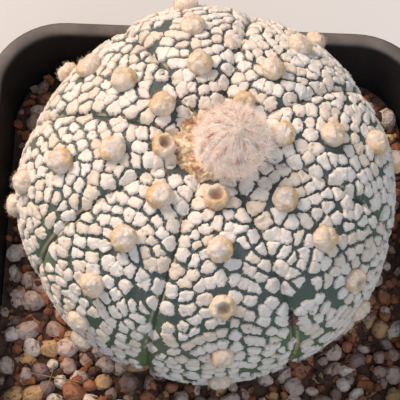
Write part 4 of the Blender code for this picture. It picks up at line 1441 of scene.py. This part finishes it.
# %% Hair of the bud
def bud_material():
    # The faint glow of the hair's own colour is painted light: it stands for light that the packed hair
    # passes on and the render does not follow.
    made, tree, shader = new_material("bud skin", 0.9, Emission_Strength=0.1)
    combed = attribute(tree, "comb", "Vector")
    streak = out(tree, "ShaderNodeTexNoise", {"Vector": combed, "Scale": 17.0, "Detail": 3.0,
                                              "Roughness": 0.6})
    tufts = out(tree, "ShaderNodeTexNoise", {"Vector": combed, "Scale": 5.0, "Detail": 2.0})
    both = out(tree, "ShaderNodeMix", {"Factor": 0.4, 2: streak, 3: tufts})
    # The darker ends of these ramps lie in the valleys of the streaks, which the bump also sinks:
    # partly the tan of the hair itself, partly painted shade between the locks.
    cream = ramp(tree, both, ((0.38, (0.62, 0.43, 0.34)), (0.47, (0.80, 0.66, 0.56)),
                              (0.58, (0.93, 0.85, 0.77))))
    brown = ramp(tree, both, ((0.42, (0.36, 0.17, 0.11)), (0.50, (0.66, 0.45, 0.36)),
                              (0.58, (0.88, 0.75, 0.66))))
    heart = remap(tree, attribute(tree, "heart"), 0.35, 0.8)
    colour = mix(tree, heart, cream, brown)
    tree.links.new(colour, shader.inputs["Base Color"])
    tree.links.new(colour, shader.inputs["Emission Color"])
    bump(tree, shader, streak, 0.8 * MM)
    return made


bud = bud_core()
bud.data.materials.append(bud_material())
silk = fibre_material("bud silk", (0.82, 0.64, 0.53), (0.92, 0.79, 0.69), (0.96, 0.88, 0.80),
                      (0.86, 0.70, 0.60), glow=0.20)
grow_fibres("bud_down", bud, "flower_bud", "bud_wool", Density=9.0e6, Shortest=0.7 * MM,
            Longest=2.0 * MM, Stand=0.55, Lean=0.7, Disorder=0.35, Tufts=0.9, Wave=1.2 * MM,
            Wave_scale=600.0, Thickness=0.035 * MM, Seed=3, Steps=3, Material=silk)
grow_fibres("bud_silk", bud, "flower_bud", "bud_wool", Density=6.0e6, Shortest=1.2 * MM,
            Longest=2.4 * MM, Stand=0.75, Lean=0.45, Disorder=0.35, Tufts=1.0, Wave=1.5 * MM,
            Wave_scale=420.0, Thickness=0.018 * MM, Seed=6, Steps=4, Material=silk)
finish_piece(bud, "flower_bud")
bracts = bud_bracts()
bracts.data.materials.append(fibre_material("bracts", (0.78, 0.58, 0.46), (0.60, 0.36, 0.26),
                                            (0.36, 0.16, 0.10), (0.70, 0.46, 0.36)))
finish_piece(bracts, "flower_bud")

# %% [markdown]
# ## Pot
#
# A thin-walled square nursery pot. One rounded square is drawn through a list of stations, up
# the outside, over the rolled lip and down the inside. A box with bevels and a Solidify modifier
# would be quicker, but stations give the taper, the skirt and the lip their own sizes. Booleans
# then cut the drain holes through its floor and the notches in its foot. Dust and old hard water
# leave the black lip a soft taupe.

# %% Sizes of the pot
POT_HALF = (pot_high.x - pot_low.x) / 2
POT_CORNER = 15.5 * MM
LIP_WIDTH = 3.2 * MM
LIP_DROP = 4.5 * MM
POT_WALL = 1.4 * MM
POT_TAPER = 9.0 * MM
FLOOR_HEIGHT = 2.2 * MM
FLOOR_THICK = 1.6 * MM
FOOT_WIDTH = 4.0 * MM
CORNER_LOSS = 4 * MM          # the corners are this much tighter at the foot
LIP_ROLL = 1.5 * MM
LIP_STEPS = 8
WALL_STEPS = 6
SHARP_EDGE = math.radians(40)
FOOT_NOTCH = 14 * MM
NOTCH_HEIGHT = 1.6 * MM
DRAIN_RADIUS = 3.5 * MM
DRAIN_OFFSET = 17 * MM
DRAIN_SIDES = 32
CORNER_STEPS = 14
SIDE_STEPS = 8
print("the pot is", round(2 * POT_HALF / MM, 1), "mm across its lip")


# %% Stations of the pot
def rounded_square(half, corner, height):
    """The points of a level square with round corners, from half its width and their radius."""
    ring = []
    for quarter in range(4):
        turn = Matrix.Rotation(math.pi / 2 * quarter, 3, "Z")
        for step in range(CORNER_STEPS):
            angle = math.pi / 2 * step / (CORNER_STEPS - 1)
            arm = Vector((math.cos(angle), math.sin(angle), 0)) * corner
            ring.append(turn @ (arm + Vector((half - corner, half - corner, height))))
        for step in range(1, SIDE_STEPS):
            x = (half - corner) * (1 - 2 * step / SIDE_STEPS)
            ring.append(turn @ Vector((x, half, height)))
    return ring


def lip_stations(outer, inner):
    """The rolled lip: a half round from the outer skirt to the inner wall."""
    middle, reach = (outer + inner) / 2, (outer - inner) / 2
    for step in range(LIP_STEPS + 1):
        angle = math.pi * step / LIP_STEPS
        half = middle + reach * math.cos(angle)
        corner = POT_CORNER - (outer - half)
        yield half, corner, pot_high.z - LIP_ROLL * (1 - math.sin(angle) ** 0.7)


def pot_stations():
    """Half width, corner radius and height of each ring: foot, wall, lip, inner wall, floor."""
    inside = POT_HALF - LIP_WIDTH
    wall, corner = inside + POT_WALL, POT_CORNER - LIP_WIDTH + POT_WALL
    base, foot = wall - POT_TAPER, 0.9 * MM
    yield base - FOOT_WIDTH, corner - FOOT_WIDTH - CORNER_LOSS, FLOOR_HEIGHT
    yield base - FOOT_WIDTH, corner - FOOT_WIDTH - CORNER_LOSS, 0.3 * MM
    yield base - FOOT_WIDTH + 0.3 * MM, corner - FOOT_WIDTH - 3.7 * MM, 0
    yield base - 0.8 * MM, corner - 4.8 * MM, 0
    yield base - 0.2 * MM, corner - 4.2 * MM, 0.3 * MM
    yield base, corner - CORNER_LOSS, foot
    top = pot_high.z - LIP_DROP
    grow = wall - POT_TAPER * LIP_DROP / pot_high.z - base
    for step in range(1, WALL_STEPS + 1):
        share = step / WALL_STEPS
        yield base + grow * share, corner - CORNER_LOSS * (1 - share), foot + (top - foot) * share
    yield POT_HALF - 0.5 * MM, POT_CORNER - 0.5 * MM, top
    yield POT_HALF - 0.1 * MM, POT_CORNER - 0.1 * MM, top + 0.3 * MM
    yield from lip_stations(POT_HALF, inside)
    top, floor = pot_high.z - LIP_ROLL, FLOOR_HEIGHT + FLOOR_THICK
    inner_floor = inside - POT_TAPER * (pot_high.z - floor) / pot_high.z
    for step in range(1, WALL_STEPS + 1):
        share = step / WALL_STEPS
        yield (inside - (inside - inner_floor) * share,
               POT_CORNER - LIP_WIDTH - CORNER_LOSS * share, top - (top - floor) * share)


# %% Pot
def pot_shell():
    bm = bmesh.new()
    loft(bm, [[bm.verts.new(p) for p in rounded_square(*station)] for station in pot_stations()])
    bmesh.ops.recalc_face_normals(bm, faces=bm.faces)
    piece = from_bmesh("pot_shell", bm)
    piece.data.set_sharp_from_angle(angle=SHARP_EDGE)
    return piece


# %% Drain holes and foot notches
def cut_out(piece, name, bm):
    """Puts a Boolean on a piece, and returns the object that it cuts with."""
    cutter = from_bmesh(name, bm, smooth=False)
    cut = piece.modifiers.new(name, "BOOLEAN")
    cut.object, cut.operation, cut.solver = cutter, "DIFFERENCE", "EXACT"
    return cutter


def pot_openings(piece):
    """Two bars laid crosswise notch each side of the foot, and five rods go through the floor."""
    length, height = 4 * POT_HALF, 2 * NOTCH_HEIGHT
    for size in ((FOOT_NOTCH, length, height), (length, FOOT_NOTCH, height)):
        bar = bmesh.new()
        bmesh.ops.create_cube(bar, size=1)
        bmesh.ops.scale(bar, vec=size, verts=bar.verts)
        yield cut_out(piece, "foot_notch", bar)
    rods = bmesh.new()
    for x, y in ((0, 0), (-1, -1), (-1, 1), (1, -1), (1, 1)):
        place = Matrix.Translation((x * DRAIN_OFFSET, y * DRAIN_OFFSET, FLOOR_HEIGHT))
        bmesh.ops.create_cone(rods, cap_ends=True, segments=DRAIN_SIDES, depth=6 * FLOOR_THICK,
                              radius1=DRAIN_RADIUS, radius2=DRAIN_RADIUS, matrix=place)
    yield cut_out(piece, "drain_holes", rods)


# %% Dusty plastic
def pot_material():
    made, tree, shader = new_material("nursery plastic", 0.5)
    shader.inputs["Specular IOR Level"].default_value = 0.2
    dust = use(tree, SETTLED_DUST, Scale=90.0, Amount=0.85)
    streaks = use(tree, FELT_GRAIN, Scale=260.0)
    black = ramp(tree, streaks.outputs["Value"], ((0.35, (0.010, 0.010, 0.012)),
                                                  (0.7, (0.024, 0.023, 0.024))))
    colour = mix(tree, dust.outputs["Mask"], black, (0.20, 0.172, 0.155))
    tree.links.new(colour, shader.inputs["Base Color"])
    rough = remap(tree, dust.outputs["Mask"], 0.0, 1.0, 0.42, 0.9)
    tree.links.new(rough, shader.inputs["Roughness"])
    bump(tree, shader, streaks.outputs["Height"], 0.06 * MM, 0.5)
    return made


pot = pot_shell()
cutters = list(pot_openings(pot))
pot.data.materials.append(pot_material())
finish_piece(pot, "square_pot")
pot.data.set_sharp_from_angle(angle=SHARP_EDGE)
for cutter in cutters:
    bpy.data.objects.remove(cutter)

# %% [markdown]
# ## Gravel
#
# The mix is lava, pumice and quartz, three to five millimetres across, with crumbs of bark
# between. Below it lies a plain dark bed that fills the pot. One Geometry Nodes tree scatters
# both on it, never closer than a set distance: each is a ball, squashed and turned at random.
# Noise then roughens them where they lie, so no two look the same. It runs twice, once with the
# sizes of the stones and once with those of the crumbs. Stones dropped by rigid body physics
# would lie more truly, but that takes long, and from above a scatter looks much the same.

# %% Bed
BED_DROP = 1.6 * MM
BED_GAP = 0.3 * MM
BED_FLOOR = 0.5 * MM
BED_TOP_SHARES = (0.45, 0.6, 0.75, 0.88, 1.0)
bed_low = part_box("gravel_bed")[0]


def potting_bed():
    """A closed bed with an uneven top, hollow where the root goes down."""
    half = POT_HALF - LIP_WIDTH - POT_TAPER * (pot_high.z - GRAVEL_TOP) / pot_high.z - BED_GAP
    corner = POT_CORNER - LIP_WIDTH
    stations = [(half * share, corner * share, GRAVEL_TOP - BED_DROP)
                for share in (0.30, *BED_TOP_SHARES)]
    low_half = half - POT_TAPER * (GRAVEL_TOP - bed_low.z) / pot_high.z
    stations += [(low_half, corner - 3 * MM, bed_low.z + BED_FLOOR),
                 (low_half * 0.4, corner * 0.4, bed_low.z + BED_FLOOR)]
    bm = bmesh.new()
    rings = [[bm.verts.new(p) for p in rounded_square(*station)] for station in stations]
    for above, below in zip(rings, rings[1:] + rings[:1]):
        bridge(bm, below, above)
    bmesh.ops.recalc_face_normals(bm, faces=bm.faces)
    for ring in rings[:5]:
        for point in ring:
            point.co.z += 0.5 * MM * noise.noise(point.co / (4 * MM))
    return from_bmesh("potting_bed", bm, smooth=False)


# %% Stones
STONES_FROM = 22 * MM         # nothing shows nearer to the plant's axis
CORNER_CENTRE = 27.8 * MM     # the pot's inner corners are rounded about this x and y


def compare(tree, a, operation, b):
    return out(tree, "FunctionNodeCompare", {0: a, 1: b}, data_type="FLOAT", operation=operation)


def stone_tree():
    """Scatters lumps on what faces up, but none under the plant or against the pot's wall."""
    tree, start, end = geometry_tree("Gravel", {
        "Spacing": 2.5 * MM, "Smallest": 1.2 * MM, "Largest": 2.3 * MM, "Highest": MM,
        "Roughness": 2 * MM, "Lump scale": 420.0, "From axis": STONES_FROM, "Reach": 38.6 * MM,
        "Subdivisions": 2, "Seed": 2})
    value = start.outputs
    normal = out(tree, "GeometryNodeInputNormal")
    upward = add(tree, "ShaderNodeSeparateXYZ", {0: normal}).outputs["Z"]
    facing = compare(tree, upward, "GREATER_THAN", 0.6)
    scatter = add(tree, "GeometryNodeDistributePointsOnFaces",
                  {"Mesh": value["Geometry"], "Selection": facing, "Distance Min": value["Spacing"],
                   "Density Max": 2e6, "Seed": value["Seed"]}, distribute_method="POISSON")
    position = add(tree, "GeometryNodeInputPosition").outputs["Position"]
    distance = add(tree, "ShaderNodeVectorMath", {0: position, 1: (EQUATOR.x, EQUATOR.y, GRAVEL_TOP)},
                   operation="DISTANCE").outputs["Value"]
    hidden = compare(tree, distance, "LESS_THAN", value["From axis"])
    flat = out(tree, "ShaderNodeVectorMath", {0: position, 1: (1, 1, 0)}, operation="MULTIPLY")
    folded = out(tree, "ShaderNodeVectorMath", {0: flat}, operation="ABSOLUTE")
    over = summed(tree, folded, (-CORNER_CENTRE, -CORNER_CENTRE, 0))
    over = out(tree, "ShaderNodeVectorMath", {0: over, 1: (0, 0, 0)}, operation="MAXIMUM")
    over = add(tree, "ShaderNodeVectorMath", {0: over}, operation="LENGTH").outputs["Value"]
    room = out(tree, "ShaderNodeMath", {0: value["Reach"], 1: CORNER_CENTRE}, operation="SUBTRACT")
    tight = compare(tree, over, "GREATER_THAN", room)
    either = out(tree, "FunctionNodeBooleanMath", {0: hidden, 1: tight}, operation="OR")
    scattered = out(tree, "GeometryNodeDeleteGeometry", {"Geometry": scatter.outputs["Points"],
                                                         "Selection": either}, domain="POINT")
    height = random_value(tree, "FLOAT", -0.6 * MM, value["Highest"], 8)
    rise = out(tree, "ShaderNodeCombineXYZ", {"Z": height})
    points = out(tree, "GeometryNodeSetPosition", {"Geometry": scattered, "Offset": rise})
    turn = random_value(tree, "FLOAT_VECTOR", (0, 0, 0), (math.tau, math.tau, math.tau), 3)
    size = random_value(tree, "FLOAT", value["Smallest"], value["Largest"], 4)
    uneven = random_value(tree, "FLOAT_VECTOR", (0.75, 0.75, 0.6), (1.25, 1.1, 0.95), 6)
    pebble = out(tree, "GeometryNodeMeshIcoSphere", {"Radius": 1.0,
                                                     "Subdivisions": value["Subdivisions"]})
    stones = out(tree, "GeometryNodeInstanceOnPoints", {
        "Points": points, "Instance": pebble, "Rotation": turn, "Scale": scaled(tree, uneven, size)})
    stones = keep(tree, stones, "tint", random_value(tree, "FLOAT", 0.0, 1.0, 9), "INSTANCE")
    stones = out(tree, "GeometryNodeRealizeInstances", {"Geometry": stones})
    lumps = out(tree, "ShaderNodeTexNoise", {"Vector": position, "Scale": value["Lump scale"],
                                             "Detail": 2.0})
    centred = out(tree, "ShaderNodeMath", {0: lumps, 1: 0.5}, operation="SUBTRACT")
    push = scaled(tree, normal, product(tree, centred, value["Roughness"]))
    stones = out(tree, "GeometryNodeSetPosition", {"Geometry": stones, "Offset": push})
    return close_tree(tree, stones, value["Material"], end)


# %% Stone, bark and grit
def stone_material(name, kinds, roughness, pits):
    made, tree, shader = new_material(name, roughness)
    kind = ramp(tree, attribute(tree, "tint"), kinds, steps=True)
    grain = use(tree, FELT_GRAIN, Scale=900.0)
    colour = mix(tree, grain.outputs["Value"], kind, (0.60, 0.54, 0.47), "OVERLAY")
    pitted = remap(tree, grain.outputs["Height"], 0.46, 0.34, to_high=0.8)
    colour = mix(tree, pitted, colour, (0.08, 0.04, 0.03))
    tree.links.new(colour, shader.inputs["Base Color"])
    bump(tree, shader, grain.outputs["Height"], pits)
    return made


def bed_material():
    made, tree, shader = new_material("potting grit", 0.95)
    grain = use(tree, FELT_GRAIN, Scale=600.0)
    colour = ramp(tree, grain.outputs["Value"], ((0.35, (0.020, 0.012, 0.009)),
                                                 (0.65, (0.115, 0.052, 0.030))))
    tree.links.new(colour, shader.inputs["Base Color"])
    bump(tree, shader, grain.outputs["Height"], 0.8 * MM)
    return made


# %% Pieces of the mix
QUARTZ = ((0.0, (0.34, 0.235, 0.20)), (0.20, (0.48, 0.375, 0.33)), (0.36, (0.29, 0.120, 0.060)),
          (0.50, (0.42, 0.33, 0.30)), (0.66, (0.44, 0.28, 0.14)), (0.77, (0.22, 0.155, 0.14)),
          (0.88, (0.56, 0.48, 0.43)))
BARK = ((0.0, (0.075, 0.034, 0.022)), (0.22, (0.24, 0.088, 0.038)), (0.45, (0.12, 0.054, 0.034)),
        (0.60, (0.34, 0.145, 0.060)), (0.75, (0.32, 0.23, 0.19)), (0.87, (0.045, 0.025, 0.019)))
bed, gravel = potting_bed(), stone_tree()
stone, bark = (stone_material("gravel stone", QUARTZ, 0.7, 0.3 * MM),
               stone_material("bark crumb", BARK, 0.95, 0.6 * MM))
for name, settings in (
        ("gravel_stones", {"Material": stone, "Spacing": 2.75 * MM, "Highest": 1.3 * MM}),
        ("gravel_crumbs", {"Material": bark, "Spacing": 1.3 * MM, "Smallest": 0.5 * MM,
                           "Largest": 1.45 * MM, "Highest": 1.1 * MM, "Roughness": 1.6 * MM,
                           "Reach": 39.6 * MM, "Lump_scale": 900.0, "Subdivisions": 1, "Seed": 7})):
    scattered = with_tree(mesh_object(name, bed.data.copy()), gravel, **settings)
    finish_piece(scattered, "gravel_bed")
bed.data.materials.append(bed_material())
finish_piece(bed, "gravel_bed")

# %% [markdown]
# ## Litter
#
# Two things have fallen on it or dried on it: bits of straw on the gravel, and a scrap of a dead
# flower in a crease at the front. Straw is a thin bent tube. The scrap is a few crumpled flakes.

# %% Straw
STRAWS = 12
STRAW_LENGTH = (4 * MM, 11 * MM)
STRAW_RADIUS = (0.05 * MM, 0.12 * MM)
STRAW_SIDES, STRAW_STEPS = 5, 8


def tube(bm, line, radius):
    """A closed tube along a line of points."""
    rings = []
    for index, point in enumerate(line):
        ahead = (line[min(index + 1, len(line) - 1)] - line[max(index - 1, 0)]).normalized()
        side = ahead.cross(Vector((0.1, 0.2, 1))).normalized()
        up = side.cross(ahead)
        turns = [math.tau * k / STRAW_SIDES for k in range(STRAW_SIDES)]
        rings.append([bm.verts.new(point + (side * math.cos(t) + up * math.sin(t)) * radius)
                      for t in turns])
    loft(bm, rings)


def straws():
    """Straws in the four corners of the pot, where the gravel shows."""
    dice = random.Random(12)
    bm = bmesh.new()
    for number in range(STRAWS):
        middle = Vector(((-1) ** number * dice.uniform(24, 33),
                         (-1) ** (number // 2) * dice.uniform(25, 33), 0)) * MM
        middle.z = GRAVEL_TOP + dice.uniform(1.6, 2.6) * MM
        turn, length = dice.uniform(0, math.tau), dice.uniform(*STRAW_LENGTH)
        way, bend = Vector((math.cos(turn), math.sin(turn), 0)), dice.uniform(-1, 1) * MM
        across = Vector((-way.y, way.x, 0.4))
        shares = [step / STRAW_STEPS * 2 - 1 for step in range(STRAW_STEPS + 1)]
        line = [middle + way * length / 2 * t + across * bend * (t ** 2 - 0.5) for t in shares]
        tube(bm, line, dice.uniform(*STRAW_RADIUS))
    bmesh.ops.recalc_face_normals(bm, faces=bm.faces)
    return from_bmesh("straw", bm)


# %% Dry litter
def litter_material(name, dark, pale):
    made, tree, shader = new_material(name, 0.8)
    grain = use(tree, FELT_GRAIN, Scale=1400.0)
    colour = ramp(tree, grain.outputs["Value"], ((0.38, dark), (0.62, pale)))
    tree.links.new(colour, shader.inputs["Base Color"])
    bump(tree, shader, grain.outputs["Height"], 0.1 * MM)
    return made


straw = straws()
straw.data.materials.append(litter_material("straw", (0.16, 0.09, 0.045), (0.36, 0.24, 0.13)))
finish_piece(straw, "gravel_bed")

# %% Dried scrap
SCRAP_ARC = 35.6 * MM
SCRAP_CREASE = 1
SCRAP_FLAKES = 9
SCRAP_LIFT = 0.9 * MM


def dried_scrap():
    """Crumpled flakes: small icospheres pressed flat and bent by noise."""
    dice = random.Random(5)
    azimuth = float(CREASE[SCRAP_CREASE])
    foot = Vector(skin(SCRAP_ARC, azimuth)) + Vector(skin_normal(SCRAP_ARC, azimuth)) * SCRAP_LIFT
    bm = bmesh.new()
    for number in range(SCRAP_FLAKES):
        flake = bmesh.ops.create_icosphere(bm, subdivisions=2, radius=1)["verts"]
        angle, axis = dice.uniform(0, math.tau), Vector([dice.gauss(0, 1) for _ in range(3)])
        turn = Matrix.Rotation(angle, 3, axis.normalized())
        size = Vector((dice.uniform(0.5, 0.95), dice.uniform(0.3, 0.6), 0.10)) * MM
        place = foot + Vector([dice.uniform(-0.8, 0.8) * MM for _ in range(3)])
        for corner in flake:
            rough = 1 + 0.35 * noise.noise(corner.co * 1.6 + Vector((number, 0, 0)))
            corner.co = place + turn @ Vector([a * b * rough for a, b in zip(corner.co, size)])
    return from_bmesh("dried_scrap", bm, smooth=False)


scrap = dried_scrap()
scrap.data.materials.append(litter_material("dried flower", (0.055, 0.022, 0.016), (0.20, 0.09, 0.06)))
finish_piece(scrap, "cactus_body")

# %% [markdown]
# ## Camera, light and floor
#
# The camera looks down steeply on the plant from close by. The light is that of a bright room: a
# large warm window high on the left behind the plant, and a cool even fill from everywhere else.

# %% Camera
CAMERA_DISTANCE = 276 * MM
CAMERA_DOWN_DEG = 68.87
CAMERA_TURN_DEG = -4.05
CAMERA_ROLL_DEG = 5.83
CAMERA_LENS = 132.5
AIM_RIGHT = -0.00425
AIM_UP = -0.00329


def place_camera():
    camera = bpy.data.objects.new("camera", bpy.data.cameras.new("camera"))
    bpy.context.scene.collection.objects.link(camera)
    camera.data.lens = CAMERA_LENS
    camera.data.clip_start = 10 * MM
    down = math.radians(CAMERA_DOWN_DEG)
    turn = Matrix.Rotation(math.radians(CAMERA_TURN_DEG), 3, "Z")
    ahead = turn @ Vector((0, math.cos(down), -math.sin(down)))
    right = turn @ Vector((1, 0, 0))
    up = right.cross(ahead)
    aim = (ahead + right * AIM_RIGHT + up * AIM_UP).normalized()
    roll = math.radians(CAMERA_ROLL_DEG)
    across = math.cos(roll) * right + math.sin(roll) * up
    across = (across - aim * across.dot(aim)).normalized()
    frame_up = across.cross(aim)
    place = Matrix((across, frame_up, -aim)).transposed().to_4x4()
    place.translation = EQUATOR - ahead * CAMERA_DISTANCE
    camera.matrix_world = place
    bpy.context.scene.camera = camera


place_camera()
bpy.context.scene.view_settings.view_transform = "Standard"
print("the camera looks down by", CAMERA_DOWN_DEG, "degrees")


# %% Light
def area_light(name, place, size, watts, colour):
    """A round lamp that faces the plant."""
    lamp = bpy.data.lights.new(name, "AREA")
    lamp.shape, lamp.size, lamp.energy, lamp.color = "DISK", size, watts, colour
    holder = bpy.data.objects.new(name, lamp)
    bpy.context.scene.collection.objects.link(holder)
    holder.location = place
    holder.rotation_euler = (EQUATOR - Vector(place)).to_track_quat("-Z", "Y").to_euler()


SKY = (0.78, 0.86, 1.0)
area_light("window", (-0.42, 0.38, 0.62), 0.42, 8.4, (1.0, 0.825, 0.70))
area_light("sky", (0.25, -0.55, 0.85), 0.9, 4.8, SKY)

world = bpy.data.worlds.new("room")
bpy.context.scene.world = world
world.use_nodes = True
world.node_tree.nodes["Background"].inputs["Color"].default_value = (*SKY, 1)
world.node_tree.nodes["Background"].inputs["Strength"].default_value = 0.27
print(len(bpy.data.lights), "lamps and an even fill")


# %% Floor
def floor_piece():
    bm = bmesh.new()
    bmesh.ops.create_circle(bm, cap_ends=True, segments=64, radius=1.5)
    floor = from_bmesh("floor", bm, smooth=False)
    made, _, _ = new_material("pale floor", 0.8, Base_Color=(0.62, 0.61, 0.59, 1))
    floor.data.materials.append(made)


floor_piece()
